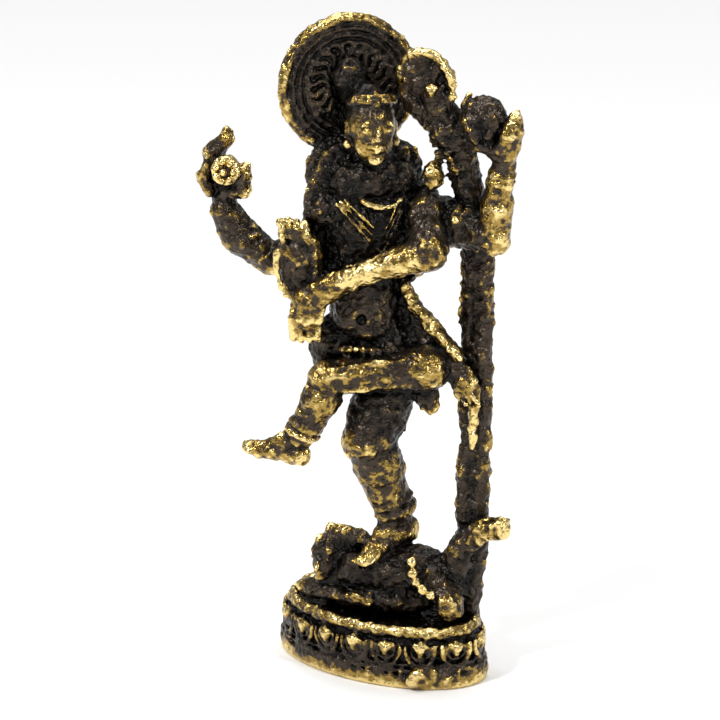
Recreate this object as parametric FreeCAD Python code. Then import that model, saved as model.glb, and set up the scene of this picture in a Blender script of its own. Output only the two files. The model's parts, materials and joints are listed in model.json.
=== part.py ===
"""Cast brass dancer with four arms on a lotus plinth, in millimetres.

+Z is up, the figure faces -Y, and the origin is the middle of the plinth's underside. Each wax component
that the casting was put together from is written to parts/NAME.step as closed solids. Where two components
meet, the one that is carved in more detail keeps its whole shape and the larger one is cut away behind it,
so that no two nodes fill the same space.
"""

import FreeCAD, Part
import math
import os

UP = FreeCAD.Vector(0, 0, 1)

# Plinth: an oval drum, so every outline is a circle squeezed in Y and then turned about +Z
PLINTH_LENGTH = 15.8
PLINTH_DEPTH = 9.2
PLINTH_TURN = -14
PLINTH_HEIGHT = 4.1
FLANGE_HEIGHT = 1.0
WAIST_INSET = 0.75
RIM_INSET = 0.75
RIM_WIRE = 0.38
PLATE_DROP = 0.3
PETAL_COUNT = 16
PETAL_WIDTH = 1.95
PETAL_HEIGHT = 1.95
PETAL_RELIEF = 0.42
PETAL_BEAD_RADIUS = 0.42
BLOB = FreeCAD.Vector(4.95, -3.95, 0.95)
BLOB_HALF_SIZES = (1.5, 0.8, 0.9)
BLOB_TURN = 42

# Which way the parts of the twisted body face, as a turn about +Z away from -Y toward +X
HIP_TURN = 15
CHEST_TURN = 28
HEAD_TURN = 36

# Hair disc and head
DISC_RADIUS = 4.4
DISC_THICKNESS = 1.0
DISC_RIM_WIRE = 0.42
HEAD_HALF_WIDTH = 1.6
HEAD_HALF_DEPTH = 1.85
HEAD_HALF_HEIGHT = 2.5
LOCK_COUNT = 26

# Joints of the dancer
HIP_STANDING = FreeCAD.Vector(0.3, 0.2, 19.2)
KNEE_STANDING = FreeCAD.Vector(-0.6, -1.2, 15.8)
ANKLE_STANDING = FreeCAD.Vector(0.8, 0.0, 10.4)
TOES_STANDING = FreeCAD.Vector(-0.8, -1.9, 7.5)
HIP_RAISED = FreeCAD.Vector(3.0, -0.6, 20.9)
KNEE_RAISED = FreeCAD.Vector(-2.7, -3.1, 20.2)
ANKLE_RAISED = FreeCAD.Vector(-4.35, -3.4, 16.3)
HEEL_RAISED = FreeCAD.Vector(-4.6, -3.3, 14.8)
TOES_RAISED = FreeCAD.Vector(-8.5, -3.6, 15.2)
PELVIS = FreeCAD.Vector(0.3, 0.3, 21.0)
BELLY = FreeCAD.Vector(-1.2, -0.2, 24.7)
CHEST = FreeCAD.Vector(-0.6, 0.2, 29.9)
NECK_BASE = FreeCAD.Vector(-0.3, 0.1, 32.3)
HEAD = FreeCAD.Vector(-0.5, -0.8, 36.6)
DISC = FreeCAD.Vector(-2.85, 1.0, 38.9)
TOPKNOT = FreeCAD.Vector(-2.3, -0.2, 39.9)

SHOULDER_RIGHT = FreeCAD.Vector(-4.1, 0.2, 30.8)
ELBOW_RIGHT = FreeCAD.Vector(-5.4, -1.3, 26.2)
PALM_RIGHT = FreeCAD.Vector(-4.7, -3.0, 28.2)
FINGERS_RIGHT = FreeCAD.Vector(-5.0, -3.3, 30.6)
SHOULDER_LEFT = FreeCAD.Vector(3.1, 0.0, 31.2)
ELBOW_LEFT = FreeCAD.Vector(3.9, -1.9, 29.0)
WRIST_LEFT = FreeCAD.Vector(-1.4, -3.2, 27.0)
KNUCKLES_LEFT = FreeCAD.Vector(-3.8, -3.3, 25.4)
FINGERS_LEFT = FreeCAD.Vector(-4.1, -3.3, 22.7)

SHOULDER_DRUM = FreeCAD.Vector(-4.2, 1.2, 29.0)
ELBOW_DRUM = FreeCAD.Vector(-8.2, 0.7, 26.8)
BEND_DRUM = FreeCAD.Vector(-10.35, 0.4, 28.2)
WRIST_DRUM = FreeCAD.Vector(-11.4, 0.2, 30.0)
PALM_DRUM = FreeCAD.Vector(-11.4, 0.0, 32.1)
FINGER_DRUM = FreeCAD.Vector(-11.2, 0.0, 35.3)
THUMB_DRUM = FreeCAD.Vector(-9.5, -0.5, 33.1)
DRUM = FreeCAD.Vector(-10.7, -0.9, 33.0)
SHOULDER_FIRE = FreeCAD.Vector(3.6, 1.0, 30.6)
ELBOW_FIRE = FreeCAD.Vector(7.4, 0.5, 29.65)
WRIST_FIRE = FreeCAD.Vector(8.1, 0.3, 34.0)
PALM_FIRE = FreeCAD.Vector(8.35, 0.1, 35.6)
FINGERS_FIRE = FreeCAD.Vector(9.1, -0.1, 37.9)
FLAME = FreeCAD.Vector(6.9, 0.0, 37.4)

# Cobra: foot of the pillar, top of the pillar, bends of the neck and middle of the hood
PILLAR_FOOT = FreeCAD.Vector(5.15, 0.6, PLINTH_HEIGHT - PLATE_DROP)
PILLAR_KNEE = FreeCAD.Vector(6.2, 0.9, 9.5)
PILLAR_TOP = FreeCAD.Vector(6.05, 1.9, 29.4)
NECK_BEND = FreeCAD.Vector(5.4, 1.6, 32.6)
NECK_END = FreeCAD.Vector(4.15, 1.0, 36.7)
HOOD = FreeCAD.Vector(2.85, 0.6, 39.6)
PILLAR_RADIUS = 1.08

# Dwarf lying on the plate
DWARF_SHOULDER = FreeCAD.Vector(-1.6, -1.0, 6.6)
DWARF_HIP = FreeCAD.Vector(4.4, 0.0, 6.6)
DWARF_HEAD = FreeCAD.Vector(-3.3, -1.4, 7.1)
DWARF_HAIR_TIP = FreeCAD.Vector(-3.55, -1.1, 9.4)
DWARF_ELBOW = FreeCAD.Vector(-4.3, -1.5, 4.9)
DWARF_HAND = FreeCAD.Vector(-0.8, -2.6, 5.1)
DWARF_KNEE = FreeCAD.Vector(5.6, -2.0, 5.0)
DWARF_RAISED_ANKLE = FreeCAD.Vector(7.2, -0.4, 10.1)
DWARF_SOLE = FreeCAD.Vector(8.6, -0.7, 10.55)
DWARF_BEADS_TOP = FreeCAD.Vector(2.9, -2.2, 7.9)
DWARF_BEADS_END = FreeCAD.Vector(4.5, -2.7, 6.0)
DWARF_BEAD_COUNT = 5
DWARF_BEAD_RADIUS = 0.34


def vector(x, y, z):
    return FreeCAD.Vector(x, y, z)


def between(start, end, share):
    """The point that lies the given share of the way from start to end."""
    return start + (end - start) * share


def facing(turn):
    """The level direction that a part turned by this many degrees from -Y toward +X faces."""
    angle = math.radians(turn)
    return vector(math.sin(angle), -math.cos(angle), 0)


def egg(centre, half_sizes, turn=0, lean=0):
    """An ellipsoid with half sizes across, front to back and up; lean tips its top toward +X."""
    stretch = FreeCAD.Matrix()
    stretch.scale(vector(*half_sizes))
    shape = Part.makeSphere(1.0).transformGeometry(stretch)
    shape.rotate(vector(0, 0, 0), vector(0, 1, 0), lean)
    shape.rotate(vector(0, 0, 0), UP, turn)
    shape.translate(centre)
    return shape


def stand_along(shape, start, direction):
    """Moves a shape built up the Z axis so that it stands on start and points along direction."""
    shape.Placement = FreeCAD.Placement(start, FreeCAD.Rotation(UP, direction)).multiply(shape.Placement)
    return shape


def facing_out(solid):
    """The same solid with its faces turned outward, so that its volume counts as positive."""
    if solid.Volume < 0:
        solid.reverse()
    return solid


def limb(start, end, radii):
    """A round limb whose radius runs smoothly through radii, with a half ball at each end."""
    length = (end - start).Length
    points = [vector(radius, 0, length * index / (len(radii) - 1)) for index, radius in enumerate(radii)]
    side = Part.BSplineCurve()
    side.interpolate(Points=points, InitialTangent=UP, FinalTangent=UP)
    slant = math.sqrt(0.5)
    low_tip = vector(0, 0, -radii[0])
    low_bend = vector(radii[0] * slant, 0, -radii[0] * slant)
    high_tip = vector(0, 0, length + radii[-1])
    high_bend = vector(radii[-1] * slant, 0, length + radii[-1] * slant)
    outline = Part.Wire([
        Part.Arc(low_tip, low_bend, points[0]).toShape(),
        side.toShape(),
        Part.Arc(points[-1], high_bend, high_tip).toShape(),
        Part.makeLine(high_tip, low_tip),
    ])
    solid = facing_out(Part.Face(outline).revolve(vector(0, 0, 0), UP, 360))
    return stand_along(solid, start, end - start)


def ring(centre, axis, radius, wire):
    return Part.makeTorus(radius, wire, centre, axis)


def joined(shapes):
    """One solid from shapes that run into each other."""
    whole = shapes[0]
    for shape in shapes[1:]:
        whole = facing_out(whole.fuse(shape))
    return whole


def oval(shape):
    """Squeezes a round shape about the Z axis to the plinth's outline and turns it to lie as the plinth does."""
    squeeze = FreeCAD.Matrix()
    squeeze.scale(vector(1, PLINTH_DEPTH / PLINTH_LENGTH, 1))
    squeezed = shape.transformGeometry(squeeze)
    squeezed.rotate(vector(0, 0, 0), UP, PLINTH_TURN)
    return squeezed


def turned_drum(outline):
    """An oval drum from its outline, a list of (radius, height) pairs from the bottom up."""
    points = [vector(0, 0, outline[0][1])]
    for radius, height in outline:
        points.append(vector(radius, 0, height))
    points.append(vector(0, 0, outline[-1][1]))
    points.append(points[0])
    face = Part.Face(Part.makePolygon(points))
    return oval(face.revolve(vector(0, 0, 0), UP, 360))


def around_plinth(count, inset):
    """Evenly spaced (point, outward direction) pairs on the plinth's oval, moved in by inset."""
    long_half = PLINTH_LENGTH / 2 - inset
    short_half = PLINTH_DEPTH / 2 - inset * PLINTH_DEPTH / PLINTH_LENGTH
    steps = 1440
    turn = FreeCAD.Rotation(UP, PLINTH_TURN)
    walked = [0.0]
    for step in range(steps):
        angle = 2 * math.pi * (step + 0.5) / steps
        speed = math.hypot(long_half * math.sin(angle), short_half * math.cos(angle))
        walked.append(walked[-1] + speed * 2 * math.pi / steps)
    places = []
    for index in range(count):
        goal = walked[-1] * index / count
        step = next(number for number, value in enumerate(walked) if value >= goal)
        angle = 2 * math.pi * step / steps
        point = vector(long_half * math.cos(angle), short_half * math.sin(angle), 0)
        outward = vector(short_half * math.cos(angle), long_half * math.sin(angle), 0)
        places.append((turn.multVec(point), turn.multVec(outward.normalize())))
    return places


def make_plinth():
    half = PLINTH_LENGTH / 2
    plate = PLINTH_HEIGHT - PLATE_DROP
    above_ground = Part.makeBox(
        2 * PLINTH_LENGTH, 2 * PLINTH_LENGTH, PLINTH_LENGTH, vector(-PLINTH_LENGTH, -PLINTH_LENGTH, 0))
    foot = turned_drum([
        (half - 0.25, -FLANGE_HEIGHT), (half - 0.25, 0), (half, 0.25), (half, FLANGE_HEIGHT - 0.2),
        (half - 0.25, FLANGE_HEIGHT),
    ]).common(above_ground)
    core = turned_drum([
        (half - 0.3, FLANGE_HEIGHT), (half - 0.25, FLANGE_HEIGHT + 0.15), (half - 0.4, FLANGE_HEIGHT + 0.25),
        (half - 0.35, FLANGE_HEIGHT + 0.4), (half - WAIST_INSET, FLANGE_HEIGHT + 0.55),
        (half - WAIST_INSET - 0.1, plate - 0.6), (half - RIM_INSET - 0.1, plate - 0.3),
        (half - RIM_INSET - 0.3, plate),
    ])
    rim_radius = half - RIM_INSET - RIM_WIRE
    rim = oval(ring(vector(0, 0, PLINTH_HEIGHT - RIM_WIRE), UP, rim_radius, RIM_WIRE))
    petals = []
    beads = []
    petal_middle = FLANGE_HEIGHT + 0.35 + PETAL_HEIGHT / 2
    for point, outward in around_plinth(PETAL_COUNT, WAIST_INSET):
        turn = math.degrees(math.atan2(outward.x, -outward.y))
        leaf = egg(point + UP * petal_middle, (PETAL_WIDTH / 2, PETAL_RELIEF, PETAL_HEIGHT / 2), turn)
        petals.append(leaf)
        bead_place = point + outward * PETAL_RELIEF + UP * (petal_middle + 0.15)
        beads.append(Part.makeSphere(PETAL_BEAD_RADIUS, bead_place))
    blob = egg(BLOB, BLOB_HALF_SIZES, BLOB_TURN).common(above_ground)
    return {
        "petal_beads": Part.makeCompound(beads),
        "lotus_petals": Part.makeCompound(petals),
        "casting_blob": blob,
        "plinth_rim": rim,
        "plinth_foot": foot,
        "plinth_core": core,
    }


def make_dwarf():
    beads = []
    for index in range(DWARF_BEAD_COUNT):
        share = index / (DWARF_BEAD_COUNT - 1)
        sag = vector(0.35, -0.25, 0) * math.sin(math.pi * share)
        place = between(DWARF_BEADS_TOP, DWARF_BEADS_END, share) + sag
        beads.append(Part.makeSphere(DWARF_BEAD_RADIUS, place))
    hair = joined([
        limb(between(DWARF_HEAD, DWARF_HAIR_TIP, 0.2), DWARF_HAIR_TIP, [1.3, 0.9, 0.2]),
        limb(DWARF_HEAD + vector(0.3, 0.5, 1.0), DWARF_SHOULDER + vector(0.4, 0.2, 1.6), [0.8, 0.7, 0.6]),
    ])
    arm = joined([
        limb(DWARF_SHOULDER + vector(-0.6, -0.4, 0), DWARF_ELBOW, [0.8, 0.75, 0.65]),
        limb(DWARF_ELBOW, DWARF_HAND, [0.62, 0.6, 0.45]),
        egg(DWARF_HAND, (0.95, 0.6, 0.45), turn=-15),
    ])
    torso = joined([
        egg(between(DWARF_SHOULDER, DWARF_HIP, 0.55), (4.4, 2.1, 1.8), turn=8),
        egg(vector(-0.2, -0.3, 5.0), (4.6, 2.4, 1.6)),
    ])
    near_leg = joined([
        limb(DWARF_HIP + vector(-0.3, -1.0, 0.1), DWARF_KNEE, [1.0, 1.0, 0.8]),
        egg(DWARF_KNEE + vector(-0.1, -0.15, -0.1), (0.9, 0.8, 0.75), turn=30),
    ])
    return {
        "dwarf_beads": Part.makeCompound(beads),
        "dwarf_hair": hair,
        "dwarf_head": egg(DWARF_HEAD, (1.15, 1.25, 1.3), turn=-20),
        "dwarf_arm": arm,
        "dwarf_near_leg": near_leg,
        "dwarf_raised_foot": limb(DWARF_RAISED_ANKLE, DWARF_SOLE, [0.8, 0.78, 0.7]),
        "dwarf_raised_leg": limb(DWARF_HIP + vector(0.6, 0, 0.4), DWARF_RAISED_ANKLE, [1.3, 0.95, 0.7]),
        "dwarf_torso": torso,
    }


def make_foot(ankle, heel, toes):
    """A foot: a wedge from heel to toes with an instep running up to the ankle."""
    ball = between(heel, toes, 0.7)
    return joined([
        limb(heel, toes, [0.75, 0.72, 0.68, 0.45]),
        limb(ankle, ball, [0.85, 0.75, 0.5]),
    ])


def make_legs():
    knee_axis = (ANKLE_STANDING - KNEE_STANDING).normalize()
    raised_axis = (ANKLE_RAISED - KNEE_RAISED).normalize()
    anklet_place = ANKLE_STANDING + vector(-0.05, -0.05, 0.35)
    raised_place = between(KNEE_RAISED, ANKLE_RAISED, 0.97)
    standing_anklet = [
        ring(anklet_place, knee_axis, 1.15, 0.33),
        ring(anklet_place - knee_axis * 0.6, knee_axis, 1.15, 0.3),
    ]
    raised_anklet = [
        ring(raised_place, raised_axis, 1.0, 0.3),
        ring(raised_place - raised_axis * 0.55, raised_axis, 0.98, 0.26),
    ]
    standing_heel = ANKLE_STANDING + vector(0.6, 0.5, -1.1)
    return {
        "standing_anklet": joined(standing_anklet),
        "raised_anklet": joined(raised_anklet),
        "knee_band": ring(KNEE_STANDING + vector(0.05, 0.05, -0.2), knee_axis, 1.7, 0.3),
        "standing_foot": make_foot(ANKLE_STANDING, standing_heel, TOES_STANDING),
        "raised_foot": make_foot(ANKLE_RAISED, HEEL_RAISED, TOES_RAISED),
        "standing_shin": limb(KNEE_STANDING, ANKLE_STANDING, [1.7, 1.6, 1.3, 1.1]),
        "raised_shin": limb(KNEE_RAISED, ANKLE_RAISED, [1.35, 1.25, 0.9]),
        "raised_thigh": limb(HIP_RAISED, KNEE_RAISED, [1.6, 1.3, 1.12, 1.1]),
        "standing_thigh": limb(HIP_STANDING, KNEE_STANDING, [2.05, 1.95, 1.8]),
    }


def beaded_arc(centre, radius, first, last, count, bead, turn, tip):
    """Beads along part of a circle that is level when tip is 0 and tipped forward by tip degrees."""
    beads = []
    across = facing(turn + 90)
    forward = facing(turn) * math.cos(math.radians(tip)) - UP * math.sin(math.radians(tip))
    for index in range(count):
        angle = math.radians(first + (last - first) * index / (count - 1))
        place = centre + across * (radius * math.cos(angle)) + forward * (radius * math.sin(angle))
        beads.append(Part.makeSphere(bead, place))
    return beads


def make_body():
    chest_front = facing(CHEST_TURN)
    scarf_point = CHEST + chest_front * 2.25 + vector(0.2, 0, -1.2)
    scarf_right = CHEST + chest_front * 1.9 + facing(CHEST_TURN - 90) * 2.6 + UP * 1.9
    scarf_left = CHEST + chest_front * 1.6 + facing(CHEST_TURN + 90) * 1.7 + UP * 1.9
    scarf = joined([
        limb(scarf_right, scarf_point, [0.45, 0.4, 0.38]),
        limb(scarf_left, scarf_point, [0.4, 0.36, 0.38]),
    ])
    necklace_tilt = vector(0, 0, 1) + facing(CHEST_TURN) * 0.55
    necklace = ring(NECK_BASE + facing(CHEST_TURN) * 0.9 + UP * 0.1, necklace_tilt, 1.7, 0.32)
    belt_beads = beaded_arc(PELVIS + vector(-0.9, 0, 1.1), 2.75, 15, 165, 15, 0.36, HIP_TURN, 8)
    sash_top = BELLY + vector(2.8, 0.1, 1.5)
    sash_end = PELVIS + vector(4.4, -0.5, 0.6)
    return {
        "necklace": necklace,
        "chest_scarf": scarf,
        "hip_sash": limb(sash_top, sash_end, [0.45, 0.6, 0.75, 0.6]),
        "belt": Part.makeCompound(belt_beads),
        "sash_flap": egg(vector(3.3, -0.2, 18.7), (0.8, 0.5, 1.2), HIP_TURN, lean=-12),
        "belly": egg(BELLY + facing(HIP_TURN) * 0.3, (2.3, 1.9, 2.7), HIP_TURN),
        "neck": limb(NECK_BASE, HEAD + vector(0.1, 0.4, -1.2), [1.15, 0.95, 0.95]),
        "back_drape": egg(vector(2.9, 1.0, 28.6), (1.1, 0.6, 2.2), CHEST_TURN, lean=25),
        "chest": egg(CHEST, (3.7, 1.95, 3.4), CHEST_TURN),
        "pelvis": egg(PELVIS + vector(-0.85, -0.1, 0.3), (4.15, 1.95, 2.25), HIP_TURN),
    }


def on_disc(radius, angle, lift):
    """A point on the front of the hair disc at an angle from its right-hand side, lifted off its face."""
    across = facing(HEAD_TURN + 90)
    flat = across * (radius * math.cos(angle)) + UP * (radius * math.sin(angle))
    return DISC + flat + facing(HEAD_TURN) * (DISC_THICKNESS / 2 + lift)


def make_head():
    front = facing(HEAD_TURN)
    disc = Part.makeCylinder(DISC_RADIUS, DISC_THICKNESS, DISC - front * (DISC_THICKNESS / 2), front)
    locks = []
    for index in range(LOCK_COUNT):
        angle = math.radians(-30 + 240 * index / (LOCK_COUNT - 1))
        inner = on_disc(DISC_RADIUS * 0.5, angle, 0.05)
        outer = on_disc(DISC_RADIUS * 0.84, angle + 0.12, 0.02)
        locks.append(limb(inner, outer, [0.16, 0.24, 0.18]))
    skull = egg(HEAD, (HEAD_HALF_WIDTH, HEAD_HALF_DEPTH, HEAD_HALF_HEIGHT), HEAD_TURN)
    face_front = HEAD + front * HEAD_HALF_DEPTH
    nose = limb(face_front + UP * 0.25, face_front - UP * 0.35 + front * 0.28, [0.16, 0.26])
    chin = Part.makeSphere(0.55, HEAD + front * (HEAD_HALF_DEPTH * 0.72) - UP * (HEAD_HALF_HEIGHT * 0.78))
    diadem = ring(HEAD + UP * 1.5 + front * 0.1, UP - front * 0.25, HEAD_HALF_WIDTH + 0.1, 0.34)
    return {
        "hair_locks": Part.makeCompound(locks),
        "topknot": egg(TOPKNOT, (1.0, 0.75, 1.0), HEAD_TURN),
        "diadem": diadem,
        "head": joined([skull, nose, chin]),
        "ear_ornament": egg(vector(3.45, 0.1, 33.5), (0.75, 0.75, 0.95), HEAD_TURN),
        "disc_rim": ring(DISC, front, DISC_RADIUS, DISC_RIM_WIRE),
        "hair_disc": disc,
        "shoulder_hair": egg(vector(-1.5, 0.9, 33.4), (4.2, 1.2, 2.9), CHEST_TURN, lean=8),
    }


def fingers(palm, tips, count, spread, radii, turn):
    """Fingers side by side from a palm to their tips."""
    across = facing(turn + 90)
    shapes = []
    for index in range(count):
        offset = across * (spread * (index - (count - 1) / 2))
        shapes.append(limb(palm + offset, tips + offset * 1.15, radii))
    return shapes


def make_arms():
    palm = limb(ELBOW_RIGHT + vector(0.5, -0.9, 0.1), PALM_RIGHT, [0.95, 1.3, 1.2])
    right_hand = joined([palm] + fingers(PALM_RIGHT, FINGERS_RIGHT, 3, 0.62, [0.5, 0.45, 0.38], HIP_TURN))
    back = limb(WRIST_LEFT, KNUCKLES_LEFT, [0.75, 0.85, 0.8])
    left_hand = joined([back] + fingers(KNUCKLES_LEFT, FINGERS_LEFT, 3, 0.5, [0.5, 0.45, 0.4], HIP_TURN))
    drum_hand = joined([
        limb(WRIST_DRUM, PALM_DRUM, [0.75, 0.95, 1.0]),
        limb(PALM_DRUM + vector(-0.4, 0.1, 0), FINGER_DRUM, [0.85, 0.7, 0.5, 0.28]),
        limb(PALM_DRUM, THUMB_DRUM, [0.8, 0.6, 0.5]),
    ])
    fire_hand = joined([
        limb(WRIST_FIRE, PALM_FIRE, [0.75, 0.85, 0.9]),
        limb(PALM_FIRE, FINGERS_FIRE, [0.9, 0.8, 0.5]),
        limb(PALM_FIRE, FLAME + vector(-0.2, 0, -1.2), [0.8, 0.7, 0.5]),
    ])
    flame = joined([
        egg(FLAME, (1.4, 1.15, 1.35)),
        limb(FLAME, FLAME + vector(-1.0, 0, 1.2), [0.9, 0.7, 0.4]),
        limb(FLAME, FLAME + vector(0.8, 0, 1.3), [0.9, 0.6, 0.4]),
    ])
    forearm_axis = (WRIST_FIRE - ELBOW_FIRE).normalize()
    upper_axis = (ELBOW_FIRE - SHOULDER_FIRE).normalize()
    drum_axis = facing(10)
    return {
        "armlet": ring(between(SHOULDER_FIRE, ELBOW_FIRE, 0.35), upper_axis, 1.25, 0.3),
        "bracelet": ring(WRIST_FIRE, forearm_axis, 0.8, 0.26),
        "drum": Part.makeCylinder(1.0, 1.4, DRUM - drum_axis * 0.5, drum_axis),
        "right_hand": right_hand,
        "left_hand": left_hand,
        "drum_hand": drum_hand,
        "flame": flame,
        "fire_hand": fire_hand,
        "left_forearm": limb(ELBOW_LEFT, WRIST_LEFT, [1.2, 0.95, 0.75]),
        "left_arm": limb(SHOULDER_LEFT, ELBOW_LEFT, [1.35, 1.25]),
        "right_arm": limb(SHOULDER_RIGHT, ELBOW_RIGHT, [1.3, 1.15, 1.0]),
        "drum_forearm": joined([
            limb(ELBOW_DRUM, BEND_DRUM, [1.05, 1.1, 1.08]),
            limb(BEND_DRUM, WRIST_DRUM, [1.03, 0.97, 0.9]),
        ]),
        "drum_arm": limb(SHOULDER_DRUM, ELBOW_DRUM, [1.2, 1.05, 0.95]),
        "fire_forearm": limb(ELBOW_FIRE, WRIST_FIRE, [1.05, 0.95, 0.8]),
        "fire_arm": limb(SHOULDER_FIRE, ELBOW_FIRE, [1.5, 1.35, 1.1]),
    }


def make_cobra():
    neck = joined([
        limb(PILLAR_TOP - UP * 0.3, NECK_BEND + vector(0, -0.1, 0.2), [1.0, 1.03, 1.02]),
        limb(NECK_BEND - vector(-0.1, 0, 0.2), NECK_END, [1.0, 1.1, 1.35]),
    ])
    hood = joined([
        egg(HOOD, (1.75, 0.65, 2.15), 20, lean=-28),
        limb(NECK_END, HOOD, [1.3, 1.0, 0.5]),
        Part.makeSphere(0.42, HOOD + vector(0.65, -0.6, -0.4)),
    ])
    sash_end = joined([
        egg(vector(5.7, 0.0, 19.9), (0.95, 0.6, 1.7), 10, lean=-28),
        limb(vector(6.4, -0.1, 18.4), vector(6.3, 0.1, 15.6), [0.45, 0.4, 0.2]),
    ])
    pillar = joined([
        limb(PILLAR_FOOT, PILLAR_KNEE, [1.15, 1.1, PILLAR_RADIUS]),
        limb(PILLAR_KNEE - UP * 0.3, PILLAR_TOP, [PILLAR_RADIUS - 0.03, PILLAR_RADIUS - 0.02, 1.0]),
    ])
    return {
        "sash_end": sash_end,
        "cobra_hood": hood,
        "cobra_neck": neck,
        "cobra_pillar": pillar,
    }


def cut_back(shape, neighbours):
    """The shape without the space its neighbours fill, cut by one after another."""
    for neighbour in neighbours:
        rest = shape.cut(neighbour)
        if rest.Solids:
            shape = rest
    return shape


def main_solids(shape, biggest_only):
    """The solids worth keeping: the biggest one, or for a group all that are not slivers."""
    solids = sorted(map(facing_out, shape.Solids), key=lambda solid: solid.Volume, reverse=True)
    if biggest_only:
        return solids[:1]
    return [solid for solid in solids if solid.Volume > solids[0].Volume * 0.05]


def main():
    os.makedirs("parts", exist_ok=True)
    pieces = {}
    for make_family in (make_head, make_arms, make_legs, make_cobra, make_body, make_dwarf, make_plinth):
        pieces.update(make_family())
    groups = {"petal_beads", "lotus_petals", "dwarf_beads", "belt", "hair_locks"}
    finished = {}
    for name, shape in pieces.items():
        box = shape.BoundBox
        neighbours = [other for other in finished.values() if box.intersect(other.BoundBox)]
        shape = cut_back(shape, neighbours)
        solids = main_solids(shape, biggest_only=name not in groups)
        shape = solids[0] if len(solids) == 1 else Part.makeCompound(solids)
        finished[name] = shape
        shape.exportStep(os.path.join("parts", name + ".step"))
        print(name, len(solids), round(shape.Volume, 3), shape.isValid())


main()
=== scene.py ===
"""Finished look of the cast brass dancer, sculpted over its CAD frame.

All components are sculpted as rounded volumes in one shared grid, softly run together the way wax is,
roughened like a casting, and then meshed one by one. Neighbouring pieces share the vertices of their
seams, so each piece is closed and no gap shows between them. Lengths are in millimetres of the CAD until
the meshes are made.
"""
import json
import math
import bpy
import numpy as np
from mathutils import Matrix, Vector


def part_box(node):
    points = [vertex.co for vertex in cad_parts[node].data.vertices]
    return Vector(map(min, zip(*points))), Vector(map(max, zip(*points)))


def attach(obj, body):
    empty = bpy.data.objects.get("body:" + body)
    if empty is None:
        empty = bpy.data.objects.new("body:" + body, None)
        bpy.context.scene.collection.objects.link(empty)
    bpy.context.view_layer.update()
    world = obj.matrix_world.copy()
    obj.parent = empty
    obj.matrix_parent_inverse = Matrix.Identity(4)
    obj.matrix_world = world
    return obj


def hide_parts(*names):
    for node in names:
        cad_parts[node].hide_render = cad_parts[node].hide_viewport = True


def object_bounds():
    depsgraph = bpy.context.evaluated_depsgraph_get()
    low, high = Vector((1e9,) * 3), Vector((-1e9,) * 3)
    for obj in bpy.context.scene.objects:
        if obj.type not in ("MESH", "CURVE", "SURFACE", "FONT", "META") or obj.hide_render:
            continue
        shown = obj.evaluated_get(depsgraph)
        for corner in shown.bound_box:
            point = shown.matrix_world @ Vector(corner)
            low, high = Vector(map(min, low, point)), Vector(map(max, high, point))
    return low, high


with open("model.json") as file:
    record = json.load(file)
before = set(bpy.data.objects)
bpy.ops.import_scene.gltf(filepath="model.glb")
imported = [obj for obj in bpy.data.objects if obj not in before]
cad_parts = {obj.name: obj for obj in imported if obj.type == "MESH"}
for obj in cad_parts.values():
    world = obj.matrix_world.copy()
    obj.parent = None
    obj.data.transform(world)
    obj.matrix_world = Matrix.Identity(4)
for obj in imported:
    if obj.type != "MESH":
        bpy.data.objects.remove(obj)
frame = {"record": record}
bounds_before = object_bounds()

# Plinth of the CAD frame: it sets the scale of everything below
PLINTH_LENGTH = 15.8
PLINTH_DEPTH = 9.2
PLINTH_TURN = -14
foot_low, foot_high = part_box("plinth_foot")
PLINTH_HALF = PLINTH_LENGTH / 2
PLINTH_SQUEEZE = PLINTH_DEPTH / PLINTH_LENGTH
PLINTH_COSINE = math.cos(math.radians(PLINTH_TURN))
PLINTH_SINE = math.sin(math.radians(PLINTH_TURN))
PLINTH_SPAN = 2 * PLINTH_HALF * math.hypot(PLINTH_COSINE, PLINTH_SINE * PLINTH_SQUEEZE)
UNIT = (foot_high[0] - foot_low[0]) / PLINTH_SPAN
PLATE_TOP = 3.75
PETAL_COUNT = 16
LOCK_COUNT = 17

# Sculpting grid: cell size, room kept round each shape, and the distance that stands for empty space
VOXEL = 0.085
MARGIN = 0.7
GRID_EDGE = 0.3
FAR = 9.0
SEAM_BLEND = 0.22
FLOOR_GAP = 0.02

# Grain of the casting: (spacing, depth) of each layer of bumps, weaker on worn and on finely cut pieces
WORN_SMOOTH = 0.7
FINE_GRAIN = 0.3
FINE_PIECES = (
    "head", "hair_locks", "hair_disc", "diadem", "topknot", "lotus_petals", "petal_beads", "necklace",
    "chest_scarf", "dwarf_head", "dwarf_beads", "drum")
GRAIN = ((1.3, 0.12), (0.62, 0.13), (0.33, 0.13), (0.2, 0.07))

# Wear: what stands out over these distances is rubbed bright, what lies deep keeps its patina
FINE_RELIEF = 0.3
WIDE_RELIEF = 0.9
FINE_RELIEF_WEIGHT = 2.2
WIDE_RELIEF_WEIGHT = 1.0
PIECE_WEIGHT = 0.75

# Which way the parts of the twisted body face, as a turn about +Z away from -Y toward +X
HIP_TURN = 15
CHEST_TURN = 28
HEAD_TURN = 36


def at(x, y, z):
    return np.array((x, y, z), float)


UP = at(0, 0, 1)


def facing(turn):
    """The level direction that a part turned by this many degrees from -Y toward +X faces."""
    angle = math.radians(turn)
    return at(math.sin(angle), -math.cos(angle), 0)


HIP_FRONT = facing(HIP_TURN)
HIP_SIDE = facing(HIP_TURN + 90)
CHEST_FRONT = facing(CHEST_TURN)
CHEST_SIDE = facing(CHEST_TURN + 90)


def between(start, end, share):
    return start + (end - start) * share


def unit(direction):
    return direction / np.linalg.norm(direction)


# ---- Volumes: each is (lowest corner, highest corner, distance function of x, y, z)

def ball(centre, radius):
    def distance(x, y, z):
        return np.sqrt((x - centre[0]) ** 2 + (y - centre[1]) ** 2 + (z - centre[2]) ** 2) - radius
    return [(centre - radius, centre + radius, distance)]


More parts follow.
